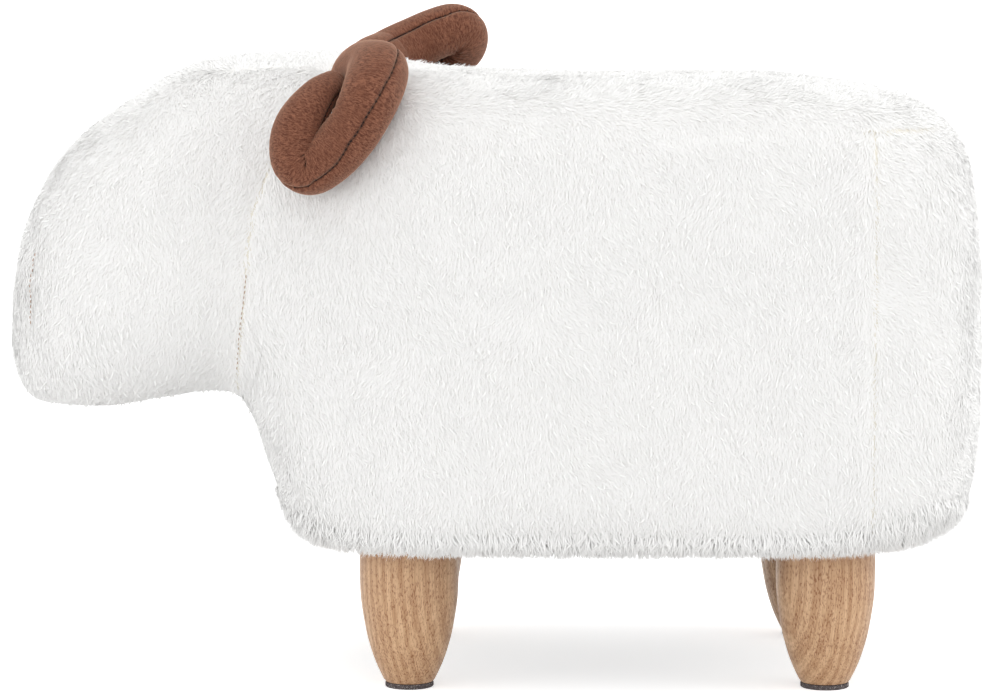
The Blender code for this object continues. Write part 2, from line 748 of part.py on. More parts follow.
# Legs
def make_leg(corner, x, y):
    """A turned leg with its hanger bolt, the tee nut it screws into, and its felt pad."""
    rows = [(r * LEG_RADIUS, LEG_BOTTOM + z * LEG_HEIGHT) for z, r in reversed(LEG_SHARES)]
    bore = BOLT_RADIUS + GAP
    bore_bottom = LEG_TOP - BOLT_IN_LEG - GAP
    leg = [(0, bore_bottom), (bore, bore_bottom), (bore, LEG_TOP), *rows, (0, LEG_BOTTOM)]
    turned(f"leg_{corner}", leg, (x, y, 0), 16, TURNED_WOOD)
    tip = LEG_TOP - BOLT_IN_LEG
    top = LEG_TOP + BOLT_ABOVE_LEG
    bolt = [
        (0, top),
        (BOLT_RADIUS - BOLT_CHAMFER, top),
        (BOLT_RADIUS, top - BOLT_CHAMFER),
        (BOLT_RADIUS, tip + BOLT_CHAMFER * 4),
        (BOLT_RADIUS - BOLT_CHAMFER * 2, tip),
        (0, tip),
    ]
    turned(f"hanger_bolt_{corner}", bolt, (x, y, 0), 12, STEEL)
    seat = BASE_TOP + GAP
    hole = BOLT_RADIUS + GAP
    nut = [
        (hole, BASE_TOP - NUT_BARREL_LENGTH),
        (hole, seat + NUT_FLANGE_THICKNESS),
        (NUT_FLANGE_RADIUS, seat + NUT_FLANGE_THICKNESS),
        (NUT_FLANGE_RADIUS, seat),
        (NUT_BARREL_RADIUS, seat),
        (NUT_BARREL_RADIUS, BASE_TOP - NUT_BARREL_LENGTH),
        (hole, BASE_TOP - NUT_BARREL_LENGTH),
    ]
    turned(f"tee_nut_{corner}", nut, (x, y, 0), 12, STEEL)
    pad_profile = [
        (0, PAD_THICKNESS),
        (PAD_RADIUS - PAD_CHAMFER, PAD_THICKNESS),
        (PAD_RADIUS, PAD_THICKNESS - PAD_CHAMFER),
        (PAD_RADIUS, 0),
        (0, 0),
    ]
    turned(f"felt_pad_{corner}", pad_profile, (x, y, 0), 16, FELT)


make_foam(make_frame())
make_cover()
make_dust_cover()
make_horns()
for leg_corner, (leg_x, leg_y) in LEG_PLACES.items():
    make_leg(leg_corner, leg_x, leg_y)
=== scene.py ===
"""The plush ram footstool in a white studio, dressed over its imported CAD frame. Metres, +Z up, head to -X."""

import math

import bpy
import numpy as np
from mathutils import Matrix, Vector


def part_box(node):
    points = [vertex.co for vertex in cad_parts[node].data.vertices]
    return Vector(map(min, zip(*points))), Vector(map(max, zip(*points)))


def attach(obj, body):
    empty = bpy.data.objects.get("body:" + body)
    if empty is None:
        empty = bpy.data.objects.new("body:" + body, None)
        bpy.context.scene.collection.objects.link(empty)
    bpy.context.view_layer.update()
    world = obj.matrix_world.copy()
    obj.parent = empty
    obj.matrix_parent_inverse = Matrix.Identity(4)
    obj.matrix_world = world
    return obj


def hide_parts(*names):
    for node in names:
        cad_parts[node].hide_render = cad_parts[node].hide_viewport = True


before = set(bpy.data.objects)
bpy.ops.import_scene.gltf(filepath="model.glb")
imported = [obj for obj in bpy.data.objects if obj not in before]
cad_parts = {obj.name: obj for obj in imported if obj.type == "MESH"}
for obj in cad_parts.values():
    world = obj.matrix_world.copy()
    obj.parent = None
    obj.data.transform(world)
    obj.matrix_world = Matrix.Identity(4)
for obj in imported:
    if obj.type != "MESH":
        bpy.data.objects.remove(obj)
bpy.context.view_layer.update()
SIDES = {"left": -1, "right": 1}
CORNERS = ("front_left", "front_right", "rear_left", "rear_right")


# Camera: a long lens two and a half metres off, a little above the stool, aimed slightly down at its middle.
CAMERA_PLACE = (0.0223, -2.5, 0.4670)
CAMERA_DIP = 6.15
CAMERA_TURN = 0.50

camera_data = bpy.data.cameras.new("studio_camera")
camera_data.sensor_width = 36
camera_data.lens = 144.9
camera = bpy.data.objects.new("studio_camera", camera_data)
camera.location = CAMERA_PLACE
camera.rotation_euler = (math.radians(90 - CAMERA_DIP), 0, math.radians(CAMERA_TURN))
bpy.context.scene.collection.objects.link(camera)
bpy.context.scene.camera = camera
bpy.context.scene.view_settings.view_transform = "Standard"


# Studio: a white sweep, an even white room, and four weak soft boxes, in front, overhead, behind and ahead.
# The camera sees the sweep brighter than it lights the stool, so the ground is white and keeps its shadow.
class Wire:
    """An output in a node tree. Sums and products with it add Math nodes; node() adds any other node from its
    type, its settings, and its sockets' values or links, and gives one of its outputs. Sockets go by name or
    number: a texture's 2 is its scale, 3 its detail, 4 its roughness, and 8 a noise's distortion or a Voronoi
    texture's randomness. Output 3 of TexCoord is the place on the object."""

    def __init__(self, tree, socket=None):
        self.tree = tree
        self.socket = socket

    def node(self, kind, settings=(), sockets=(), output=0):
        made = self.tree.nodes.new("ShaderNode" + kind)
        for name, value in dict(settings).items():
            setattr(made, name, value)
        for name, value in dict(sockets).items():
            if isinstance(value, Wire):
                self.tree.links.new(value.socket, made.inputs[name])
            else:
                made.inputs[name].default_value = value
        return Wire(self.tree, made.outputs[output])

    def maths(self, operation, *values):
        return self.node("Math", {"operation": operation}, dict(enumerate(values)))

    def vector(self, operation, *values, output=0):
        return self.node("VectorMath", {"operation": operation}, dict(enumerate(values)), output)

    def __add__(self, other):
        return self.maths("ADD", self, other)

    def __radd__(self, other):
        return self.maths("ADD", other, self)

    def __sub__(self, other):
        return self.maths("SUBTRACT", self, other)

    def __rsub__(self, other):
        return self.maths("SUBTRACT", other, self)

    def __mul__(self, other):
        return self.maths("MULTIPLY", self, other)

    def step(self, low, high):
        """0 below low and 1 above high, with a smooth rise between."""
        return self.node("MapRange", {"interpolation_type": "SMOOTHSTEP"}, {0: self, 1: low, 2: high})

    def mix(self, first, second):
        """The first colour where this wire is 0 and the second where it is 1."""
        return self.node("Mix", {"data_type": "RGBA"}, {0: self, 6: first, 7: second}, 2)


def shade(red, green, blue):
    """A colour given as it looks on a screen, 0 to 255, in the linear values that shaders use."""
    values = np.array([red, green, blue]) / 255
    linear = np.where(values > 0.04045, ((values + 0.055) / 1.055) ** 2.4, values / 12.92)
    return (*linear, 1.0)


class Tree(Wire):
    """The emptied node tree of a material or of the world, to build its nodes in. ends_in() puts a shader on
    its surface, and surface() one Principled shader with these sockets."""

    def __init__(self, owner):
        owner.use_nodes = True
        owner.node_tree.nodes.clear()
        super().__init__(owner.node_tree)
        self.owner = owner

    def ends_in(self, shader, output="ShaderNodeOutputMaterial"):
        self.tree.links.new(shader.socket, self.tree.nodes.new(output).inputs["Surface"])
        return self.owner

    def surface(self, sockets):
        return self.ends_in(self.node("BsdfPrincipled", {}, sockets))


def blank(name):
    return Tree(bpy.data.materials.new(name))


def seen_rays(make):
    """1 for rays from the camera, off a mirror or through glass, and 0 for those that light the stool."""
    seen = make.maths("MAXIMUM", make.node("LightPath"), make.node("LightPath", output=3))
    return make.maths("MAXIMUM", seen, make.node("LightPath", output=6))


def placed(name, points, faces, material):
    """An object at the origin from an array of points and one of faces with equal numbers of corners."""
    mesh = bpy.data.meshes.new(name)
    mesh.vertices.add(len(points))
    mesh.vertices.foreach_set("co", np.asarray(points, np.float32).ravel())
    mesh.loops.add(faces.size)
    mesh.loops.foreach_set("vertex_index", np.asarray(faces, np.int32).ravel())
    mesh.polygons.add(len(faces))
    mesh.polygons.foreach_set("loop_start", np.arange(0, faces.size, faces.shape[1], dtype=np.int32))
    mesh.polygons.foreach_set("use_smooth", np.ones(len(faces), bool))
    mesh.update(calc_edges=True)
    mesh.materials.append(material)
    item = bpy.data.objects.new(name, mesh)
    bpy.context.scene.collection.objects.link(item)
    return item


def woven(rows, columns, closed=False):
    """The quads of a grid of points kept row by row. A closed grid joins its last column to its first."""
    i, j = np.meshgrid(np.arange(rows - 1), np.arange(columns if closed else columns - 1), indexing="ij")
    k = (j + 1) % columns
    quads = np.stack([i * columns + j, (i + 1) * columns + j, (i + 1) * columns + k, i * columns + k], -1)
    return quads.reshape(-1, 4)


SWEEP_GLOW = 0.6
SWEEP_DEPTHS = np.array([-6, 0, 2, 2.8, 3.4, 3.8, 4])
SWEEP_RISES = np.array([0, 0, 0, 0.12, 0.5, 1.1, 6])
SWEEP_SIDES = np.array([-8.0, 8.0])
ROOM_LIGHT = 0.925

make = blank("white_sweep")
paper = make.node("BsdfDiffuse", {}, {"Color": (0.9, 0.9, 0.9, 1)})
glow = make.node("Emission", {}, {"Color": (1, 1, 1, 1), "Strength": seen_rays(make) * SWEEP_GLOW})
white = make.ends_in(make.node("AddShader", {}, {0: paper, 1: glow}))
points = np.stack(np.broadcast_arrays(SWEEP_SIDES[None], SWEEP_DEPTHS[:, None], SWEEP_RISES[:, None]), -1)
placed("white_sweep", points.reshape(-1, 3), woven(len(SWEEP_DEPTHS), 2)[:, ::-1], white)

LAMP_AIM = (0, 0, 0.2)
bpy.context.scene.world = bpy.data.worlds.new("white_room")
room = Tree(bpy.context.scene.world)
light = room.node("Background", {}, {"Color": (1, 1, 1, 1), "Strength": ROOM_LIGHT})
white = room.node("Background", {}, {"Color": (1, 1, 1, 1), "Strength": 1.0})
both = room.node("MixShader", {}, {0: seen_rays(room), 1: light, 2: white})
room.ends_in(both, "ShaderNodeOutputWorld")

for name, place, size, power in (
    ("key_box", (-0.9, -2.8, 0.7), 1.8, 3),
    ("top_box", (0.3, -0.3, 2.6), 2.0, 13),
    ("rump_box", (2.6, -0.6, 1.0), 1.6, 13),
    ("nose_box", (-2.6, -1.4, 0.25), 1.6, 17),
):
    box_light = bpy.data.lights.new(name, "AREA")
    box_light.size = size
    box_light.energy = power
    lamp = bpy.data.objects.new(name, box_light)
    lamp.location = place
    away = np.array(place) - LAMP_AIM
    tilt = math.atan2(math.hypot(away[0], away[1]), away[2])
    lamp.rotation_euler = (tilt, 0, math.atan2(away[0], -away[1]))
    bpy.context.scene.collection.objects.link(lamp)


# Plush cover: a knitted backing that carries the pile, sewn from seven panels over foam and a stuffed head:
# the seat, two sides that meet under the chin, the rump, the face band and two cheeks. It turns in under the
# base, which it leaves open in the middle.
HALF_LENGTH = 0.3015
HALF_WIDTH = 0.153
HEM_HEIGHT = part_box("side_panel_left")[0][2]
COVER_RISE = 0.2825
SEAT_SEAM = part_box("rump_panel")[1][2]
REAR_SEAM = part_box("rump_panel")[0][0]
BAND_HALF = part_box("face_band")[1][1]
BASE_LOW, BASE_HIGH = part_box("base_board")
BACKING_DEPTH = 0.0012
BASE_CORNER = 0.0335
COVER_TURN_IN = 0.0065
LEG_HOLE = 0.0313
# The neck seam's place along the half length, and its height up from the hem
NECK_SHARES = np.array(
    [(-0.570, 0.050), (-0.530, 0.276), (-0.501, 0.506), (-0.481, 0.718)]
    + [(-0.425, 0.878), (-0.308, 1.055), (-0.200, 1.180)]
)
# Rings from nose to rump: place along the half length, top and bottom up from the hem, half width, and how
# square the ring is above and below its widest level
COVER_SHARES = np.array(
    [
        (-1.000, 0.457, 0.457, 0.000, 2.3, 2.3),
        (-0.992, 0.577, 0.346, 0.261, 2.3, 2.5),
        (-0.959, 0.694, 0.283, 0.444, 2.4, 2.7),
        (-0.896, 0.818, 0.264, 0.595, 2.5, 2.9),
        (-0.806, 0.906, 0.264, 0.686, 2.6, 3.2),
        (-0.697, 0.983, 0.284, 0.732, 2.6, 3.2),
        (-0.610, 1.030, 0.294, 0.739, 2.6, 3.0),
        (-0.544, 1.043, 0.288, 0.732, 2.7, 2.8),
        (-0.504, 1.046, 0.237, 0.739, 2.8, 2.5),
        (-0.471, 1.048, 0.145, 0.750, 2.9, 2.5),
        (-0.425, 1.048, 0.042, 0.790, 3.0, 3.2),
        (-0.348, 1.047, 0.002, 0.850, 3.2, 8.0),
        (-0.242, 1.033, 0.000, 0.920, 3.8, 13.0),
        (-0.093, 1.009, 0.000, 0.982, 4.8, 14.0),
        (0.139, 1.000, 0.000, 1.000, 5.5, 14.0),
        (0.371, 1.000, 0.000, 1.000, 5.6, 14.0),
        (0.570, 0.995, 0.000, 0.993, 5.5, 14.0),
        (0.720, 0.979, 0.000, 0.974, 5.2, 11.0),
        (0.829, 0.963, 0.003, 0.922, 4.6, 7.0),
        (0.896, 0.935, 0.016, 0.850, 4.0, 5.0),
        (0.949, 0.881, 0.039, 0.725, 3.6, 4.0),
        (0.982, 0.782, 0.099, 0.549, 3.2, 3.4),
        (0.997, 0.648, 0.212, 0.353, 3.0, 3.0),
        (1.000, 0.442, 0.442, 0.000, 3.0, 3.0),
    ]
)
COVER_STEPS = 10
COVER_ROUND = 240
CORNER_CROWD = 0.12


def smooth_rows(rows, places):
    """Rows read between at fractional places by a Catmull-Rom spline, which the end rows only guide."""
    first = np.minimum(places.astype(int), len(rows) - 4)
    u = (places - first)[:, None]
    a, b, c, d = (rows[first + k] for k in range(4))
    curve = (2 * a - 5 * b + 4 * c - d) * u**2 + (3 * b - a - 3 * c + d) * u**3
    return (2 * b + (c - a) * u + curve) / 2


def guided(rows):
    """The rows with one more at each end, which carries on the last step, to guide a spline through them."""
    return np.vstack([2 * rows[0] - rows[1], rows, 2 * rows[-1] - rows[-2]])


def unit(vectors):
    return vectors / np.maximum(np.linalg.norm(vectors, axis=-1, keepdims=True), 1e-12)


def cover_rings():
    """Rings from nose to rump. Each is a rounded rectangle whose radius at an angle makes |cos|^n + |sin|^n
    equal 1, scaled by the half width and half height. The guides are mirrored rows, so the ends are round."""
    rows = COVER_SHARES
    nose, rump = rows[1].copy(), rows[-2].copy()
    for mirrored in (nose, rump):
        mirrored[[1, 2]] = mirrored[[2, 1]]
        mirrored[3] *= -1
    places = np.linspace(0, len(rows) - 1, (len(rows) - 1) * COVER_STEPS + 1)
    x, top, bottom, width, up_power, down_power = smooth_rows(np.vstack([nose, rows, rump]), places).T
    turn = (np.arange(COVER_ROUND) + 0.5) * 2 * np.pi / COVER_ROUND
    angle = turn + CORNER_CROWD * np.sin(4 * turn)
    c, s = np.cos(angle)[None], np.sin(angle)[None]
    power = np.where(s >= 0, up_power[:, None], down_power[:, None])
    reach = (np.abs(c) ** power + np.abs(s) ** power) ** (-1 / power)
    middle = HEM_HEIGHT + (top + bottom) / 2 * COVER_RISE
    half_height = (top - bottom) / 2 * COVER_RISE
    y = (np.maximum(width, 0) * HALF_WIDTH)[:, None] * reach * c
    z = middle[:, None] + half_height[:, None] * reach * s
    return np.stack([np.broadcast_to((x * HALF_LENGTH)[:, None], y.shape), y, z], -1)


def outward(rings):
    """Unit normals of a grid of rings: the cross product of the steps round and along it."""
    along = np.gradient(rings, axis=0)
    round_ = np.roll(rings, -1, 1) - np.roll(rings, 1, 1)
    normal = unit(np.cross(round_, along))
    normal[0] = (-1, 0, 0)
    normal[-1] = (1, 0, 0)
    return normal


def ripple(points, size, seed, waves=14):
    """Smooth noise between about -1 and 1: a sum of sine waves of this size in seeded directions."""
    draw = np.random.default_rng(seed)
    heading = unit(draw.normal(size=(waves, 3)))
    pitch = 2 * np.pi / (size * draw.uniform(0.7, 1.5, waves))
    phase = draw.uniform(0, 2 * np.pi, waves)
    total = np.zeros(points.shape[:-1])
    for way, k, begin in zip(heading, pitch, phase, strict=True):
        total += np.sin(points @ (way * k) + begin)
    return total / math.sqrt(waves / 2) / 1.6


def neck_place(z):
    """How far along the neck seam lies at a height."""
    return np.interp((z - HEM_HEIGHT) / COVER_RISE, NECK_SHARES[:, 1], NECK_SHARES[:, 0]) * HALF_LENGTH


def bell(distance, width):
    """A bell curve: 1 at no distance, and about a third at this width."""
    return np.exp(-((distance / width) ** 2))


def ramp(values, low, high):
    """0 below low and 1 above high, in a straight line between."""
    return np.clip((values - low) / (high - low), 0, 1)


def seam_distances(points):
    """Distances to the neck, rear, seat and face-band seams, far away where a seam doesn't run."""
    x, y, z = points[..., 0], points[..., 1], points[..., 2]
    far = 1.0
    neck = np.abs(x - neck_place(z))
    body = x > neck_place(z)
    rear = np.where(z < SEAT_SEAM, np.abs(x - REAR_SEAM), far)
    seat = np.where(body, np.abs(z - SEAT_SEAM), far)
    band = np.where(~body, np.abs(np.abs(y) - BAND_HALF), far)
    return neck, rear, seat, band


CREASE_X = -0.254
CREASE_HEIGHT = 0.182
MUZZLE_SWELL = 0.0028
MUZZLE_CREASE = 0.0009


def muzzle_swell(points):
    """The stuffed cheek: a soft crease slants back across it, and the muzzle below swells past the dome."""
    x, y, z = points[..., 0], points[..., 1], points[..., 2]
    back = x - CREASE_X
    above = z - (HEM_HEIGHT + CREASE_HEIGHT - 0.14 * back + 0.006 * np.sin(back / 0.11 * np.pi))
    reach = bell(x + 0.198, 0.062) * ramp(np.abs(y), 0.055, 0.085)
    return reach * (MUZZLE_SWELL * bell(above + 0.036, 0.030) - MUZZLE_CREASE * bell(above, 0.007))


form = cover_rings()
height = form[..., 2]
neck_gap, rear_gap, seat_gap, band_gap = seam_distances(form)
# The seams pull in: less at the neck towards the horns, and at the band under the muzzle and over the dome
dips = 0.0013 * bell(rear_gap, 0.006) + 0.0010 * bell(neck_gap, 0.007) * (1 - ramp(height, 0.335, 0.365))
dips += 0.0009 * bell(band_gap, 0.005) * ramp(height, 0.185, 0.205) * (1 - 0.75 * ramp(height, 0.27, 0.2925))
dips += (0.0006 + 0.0010 * ramp(form[..., 0], 0.10, 0.20)) * bell(seat_gap, 0.011)
lumps = 0.0007 * ripple(form, 0.085, 3) + 0.0003 * ripple(form, 0.030, 4)
lumps *= ramp(height, HEM_HEIGHT, HEM_HEIGHT + 0.03)
skin = form + outward(form) * (muzzle_swell(form) - dips + lumps)[..., None]
skin_out = outward(skin)
backing = skin - skin_out * BACKING_DEPTH


def underneath(z):
    return z < BASE_LOW[2] + 0.001


def panel_of(points):
    """Which panel a point of the cover is on, as its place in PANELS, or -1 over the base's open middle."""
    x, y, z = points[..., 0], points[..., 1], points[..., 2]
    head = x < neck_place(z)
    label = np.where(head, np.where(np.abs(y) < BAND_HALF, 4, np.where(y < 0, 5, 6)), np.where(y < 0, 1, 2))
    label = np.where(~head & (z < SEAT_SEAM) & (x > REAR_SEAM), 3, label)
    label = np.where(~head & (z >= SEAT_SEAM), 0, label)
    inset = COVER_TURN_IN + BASE_CORNER
    nearest_x = np.clip(x, BASE_LOW[0] + inset, BASE_HIGH[0] - inset)
    nearest_y = np.clip(y, BASE_LOW[1] + inset, BASE_HIGH[1] - inset)
    return np.where(underneath(z) & (np.hypot(x - nearest_x, y - nearest_y) < BASE_CORNER), -1, label)


def leg_axis(corner):
    low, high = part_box("leg_" + corner)
    return (low[0] + high[0]) / 2, (low[1] + high[1]) / 2


def near_leg(points, reach):
    """True for points under the base within reach of a leg's axis."""
    near = [np.hypot(*np.moveaxis(points[..., :2] - leg_axis(corner), -1, 0)) < reach for corner in CORNERS]
    return np.any(near, axis=0) & underneath(points[..., 2])


def thickened(cloth, gaps, thickness):
    """Gives a cloth its thickness, inwards, and each of its points the distance to the nearest seam."""
    marked = cloth.data.attributes.new("seam", "FLOAT", "POINT")
    marked.data.foreach_set("value", gaps.ravel().astype(np.float32))
    wall = cloth.modifiers.new("cloth", "SOLIDIFY")
    wall.thickness = thickness
    wall.offset = -1


PANELS = (
    ("seat", ("seat_panel", "seat_foam")),
    ("side_left", ("side_panel_left", "side_foam_left", "chest_foam")),
    ("side_right", ("side_panel_right", "side_foam_right")),
    ("rump", ("rump_panel", "rear_foam")),
    ("face_band", ("face_band", "head_filling")),
    ("cheek_left", ("cheek_left",)),
    ("cheek_right", ("cheek_right",)),
)

make = blank("plush_backing")
place = make.node("TexCoord", output=3)
knit = make.node("TexNoise", {}, {"Vector": place, "Scale": 900.0, "Detail": 2.0})
tone = knit.step(0.3, 0.7).mix(shade(240, 239, 236), shade(247, 246, 244))
seam = make.node("Attribute", {"attribute_name": "seam"}, output=2)
# Painted shade: close to a seam the backing goes to a darker yellowish tone, partly the colour of the seam's
# thread and partly shade in the crease where the pile parts
tone = ((1 - seam.step(0.0008, 0.0035)) * 0.7).mix(tone, shade(232, 226, 210))
bump = make.node("Bump", {}, {"Height": knit, "Strength": 0.5, "Distance": 0.0006})
BACKING = make.surface({"Base Color": tone, "Roughness": 1.0, "Normal": bump})

# The seat's and the band's seams show less of this thread colour and painted shade, so they count as further
# off
seam_gap = np.minimum.reduce([neck_gap, rear_gap, seat_gap + 0.004 * (form[..., 0] < 0.22), band_gap + 0.003])
quads = woven(len(backing), COVER_ROUND, closed=True)
centres = form.reshape(-1, 3)[quads].mean(1)
labels = np.where(near_leg(centres, LEG_HOLE), -1, panel_of(centres))
for number, (name, nodes) in enumerate(PANELS):
    used, faces = np.unique(quads[labels == number], return_inverse=True)
    cloth = placed(f"{name}_cloth", backing.reshape(-1, 3)[used], faces.reshape(-1, 4)[:, ::-1], BACKING)
    cloth.data.shade_flat()
    thickened(cloth, seam_gap.ravel()[used], BACKING_DEPTH)
    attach(cloth, "stool")
    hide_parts(*nodes)


# Pile: the soft fibres of the plush, in small locks about five millimetres long. They lie down the sides and
# back over the seat, with slow whorls, part at the seams and hang in a fringe at the hem. A few stand up.
LOCKS_PER_SQUARE_METRE = 880_000
LOCK_LENGTH = 0.0052
LOCK_HALF_WIDTH = 0.00037
LOCK_ROLL = 0.10
LOCK_CURL = 0.38
LOCK_BOW = 0.09
LEAN = 1.49
LEAN_LIMITS = (1.3, 1.56)
STRAY_SHARE = 0.045
STRAY_LEANS = (0.9, 1.42)
BARE_REACH = 0.0335
MOST_LOCKS = 62_000
HEM_DROP = 0.0036
FRINGE_LIMITS = (0.003, 0.0095)

PILE = blank("white_pile").surface(
    {
        "Base Color": (0.962, 0.959, 0.947, 1),
        "Roughness": 1.0,
        "Specular IOR Level": 0.1,
        "Sheen Weight": 0.5,
        "Sheen Roughness": 0.6,
    }
)


def scattered(rings, normals, per_area, draw):
    """Points and normals spread evenly over a closed grid: equal steps through the running sum of the cells'
    areas choose the cells, and two sequences of golden steps, begun anew in each cell, place the points."""
    quads = woven(len(rings), rings.shape[1], closed=True)
    corners = rings.reshape(-1, 3)[quads]
    areas = np.linalg.norm(np.cross(corners[:, 2] - corners[:, 0], corners[:, 3] - corners[:, 1]), axis=1) / 2
    sums = np.cumsum(areas)
    count = int(sums[-1] * per_area)
    index = np.arange(count)
    cells = np.minimum(np.searchsorted(sums, (index + 0.5) / count * sums[-1]), len(quads) - 1)
    begin = draw.random((2, len(quads)))[:, cells]
    u = ((begin[0] + index * 0.7548776662) % 1)[:, None]
    v = ((begin[1] + index * 0.5698402910) % 1)[:, None]
    weights = ((1 - u) * (1 - v), u * (1 - v), u * v, (1 - u) * v)
    points = sum(w * corners[cells, k] for k, w in enumerate(weights))
    bent = normals.reshape(-1, 3)[quads][cells]
    return points, unit(sum(w * bent[:, k] for k, w in enumerate(weights)))


DOWN_THE_SIDES = np.array([0.22, 0, -1.0])
OVER_THE_SEAT = np.array([0.95, 0, 0])
DOWN_THE_FACE = np.array([-0.35, 0, -1.0])
SEAT_CREASE_X = 0.247


def lay(points, facing):
    """The way the pile leans: a base direction for each region, plus a push away from the nearest seam, laid
    flat on the surface and turned by slow and quick ripples."""
    x, y, z = points.T
    head = x < neck_place(z)
    top = ramp(z, SEAT_SEAM - 0.006, SEAT_SEAM + 0.024)
    way = DOWN_THE_SIDES * (1 - top)[:, None] + OVER_THE_SEAT * top[:, None]
    way = np.where(head[:, None], 0.3 * way + 0.7 * DOWN_THE_FACE, way)
    past_rear, past_neck, past_seat = x - REAR_SEAM, x - neck_place(z), z - SEAT_SEAM
    way[:, 0] += 0.55 * np.clip(past_rear / 0.008, -1, 1) * bell(past_rear, 0.022) * (z < SEAT_SEAM)
    way[:, 0] += 0.20 * np.clip(past_neck / 0.006, -1, 1) * bell(past_neck, 0.012)
    # Off the side faces the pile leans over towards the middle of the stool, and on top past it
    inward = np.tanh((y - 0.095 * top) / 0.02) * ramp(-np.abs(facing[:, 1]), -0.6, 0)
    way[:, 1] -= (0.9 - 0.35 * head) * inward
    # The seat seam opens in a short crease where it turns on to the rump
    crease = bell(past_seat, 0.006) * bell(x - SEAT_CREASE_X, 0.016)
    way[:, 2] += 0.8 * crease * np.clip(past_seat / 0.002, -1, 1)
    turn = 0.36 * ripple(points, 0.060, 11) + 0.20 * ripple(points, 0.020, 12)
    turn += 0.22 * ripple(points, 0.006, 13) + 0.28 * head * ripple(points, 0.0045, 14)
    way = unit(way - facing * np.sum(way * facing, 1)[:, None])
    sideways = np.cross(facing, way)
    return way * np.cos(turn)[:, None] + sideways * np.sin(turn)[:, None]


def locks(roots, facing, axis, length, draw):
    """Locks of hair as narrow blades of five points, two at the root, two half way and one at the tip. Each
    is rolled a little about its axis, bowed up in the middle, and curled sideways by the square of the way
    along."""
    count = len(roots)
    flat = unit(np.cross(axis, facing))
    upper = np.cross(flat, axis)
    roll = draw.normal(0, LOCK_ROLL, (count, 1))
    edge = flat * np.cos(roll) + upper * np.sin(roll)
    edge *= draw.uniform(0.7, 1.3, (count, 1)) * LOCK_HALF_WIDTH
    curl = draw.normal(0, LOCK_CURL, count) * length
    bow = draw.uniform(0.3, 1.0, count) * LOCK_BOW * length
    middle = roots + axis * (0.5 * length)[:, None] + flat * (0.25 * curl)[:, None] + upper * bow[:, None]
    tip = roots + axis * length[:, None] + flat * curl[:, None]
    points = np.stack([roots - edge, roots + edge, middle - 0.85 * edge, middle + 0.85 * edge, tip], 1)
    pattern = np.array([(0, 1, 3), (0, 3, 2), (2, 3, 4)])
    faces = (np.arange(count)[:, None, None] * 5 + pattern).reshape(-1, 3)
    return points.reshape(-1, 3), faces


draw = np.random.default_rng(41)
roots, facing = scattered(backing, skin_out, LOCKS_PER_SQUARE_METRE, draw)
on_form = roots + facing * BACKING_DEPTH
labels = np.where(near_leg(on_form, BARE_REACH), -1, panel_of(on_form))
neck_off, rear_off, seat_off, _ = seam_distances(on_form)
parted = seat_off < 0.0010 * bell(on_form[:, 0] - SEAT_CREASE_X, 0.014)
parted |= (rear_off < 0.0005) | (neck_off < 0.0003)
kept = (labels >= 0) & ~parted
roots, facing, labels = roots[kept], facing[kept], labels[kept]
count = len(roots)
way = lay(roots, facing)
gaps = np.minimum.reduce(seam_distances(roots))
lengths = LOCK_LENGTH * (1 + 0.04 * ripple(roots, 0.009, 21)) * draw.uniform(0.8, 1.15, count)
lengths *= 1 - 0.08 * bell(gaps, 0.004)
leans = np.clip(LEAN + draw.normal(0, 0.05, count), *LEAN_LIMITS)
leans = np.where(draw.random(count) < STRAY_SHARE, draw.uniform(*STRAY_LEANS, count), leans)[:, None]
way = unit(way + draw.normal(0, 0.20, (count, 1)) * np.cross(facing, way))
axis = facing * np.cos(leans) + way * np.sin(leans)
# Where the cover turns under, the pile hangs straight down in a ragged fringe
down = -facing[:, 2]
hang = ramp(down, 0.12, 0.57) * (1 - ramp(down, 0.975, 0.985)) * (roots[:, 2] < HEM_HEIGHT + 0.03)
away = unit(facing * (1, 1, 0) + (0, 0, -1e-6))
fringe = away * draw.normal(0.22, 0.16, (count, 1)) + (0, 0, -1.0)
fringe[:, 0] += 0.30 * ripple(roots, 0.010, 23) + draw.normal(0, 0.16, count)
axis = unit(axis * (1 - hang)[:, None] + fringe * hang[:, None])
ragged = 1 + 0.35 * ripple(roots, 0.007, 24) + draw.uniform(-0.35, 0.2, count)
drop = roots[:, 2] - HEM_HEIGHT + HEM_DROP * ragged
lengths = np.where(hang > 0.5, np.clip(drop, *FRINGE_LIMITS), lengths)
broadside = facing * (1 - hang)[:, None] + away * hang[:, None]
for number, (name, _) in enumerate(PANELS):
    chosen = np.flatnonzero(labels == number)
    chosen = chosen[np.argsort(roots[chosen, 0], kind="stable")]
    parts = np.array_split(chosen, math.ceil(len(chosen) / MOST_LOCKS))
    for part_number, part in enumerate(parts, 1):
        made = locks(roots[part], broadside[part], axis[part], lengths[part], draw)
        ending = f"_{part_number}" if len(parts) > 1 else ""
        pile = placed(f"{name}_pile{ending}", *made, PILE)
        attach(pile, "stool")


# Horns: brown velour tubes, each sewn from an outer and an inner gore and stuffed with fibre, then curled and
# sewn to the neck seam. The seams pull in, and the cloth bunches in folds on the inside of the tight curl.
HORN_SPAN = 0.100
HORN_RADIUS = 0.0187
VELOUR_THICKNESS = 0.0012
HORN_ROOT_X = -0.272 * HALF_LENGTH
HORN_ROOT_Z = HEM_HEIGHT + COVER_RISE
HORN_STEPS = 14
HORN_ROUND = 56
HORN_START = 0.45
TIGHTEST_BEND = 0.91
FOLD_PITCH = 0.0052
FOLD_DEPTH = 0.0012
SEAM_DEPTH = 0.0014
STITCH_PITCH = 0.0028
STITCH_LENGTH = 0.0017
STITCH_RADIUS = 0.00036
FIRST_STITCH = 0.012
LAST_STITCH = 0.006
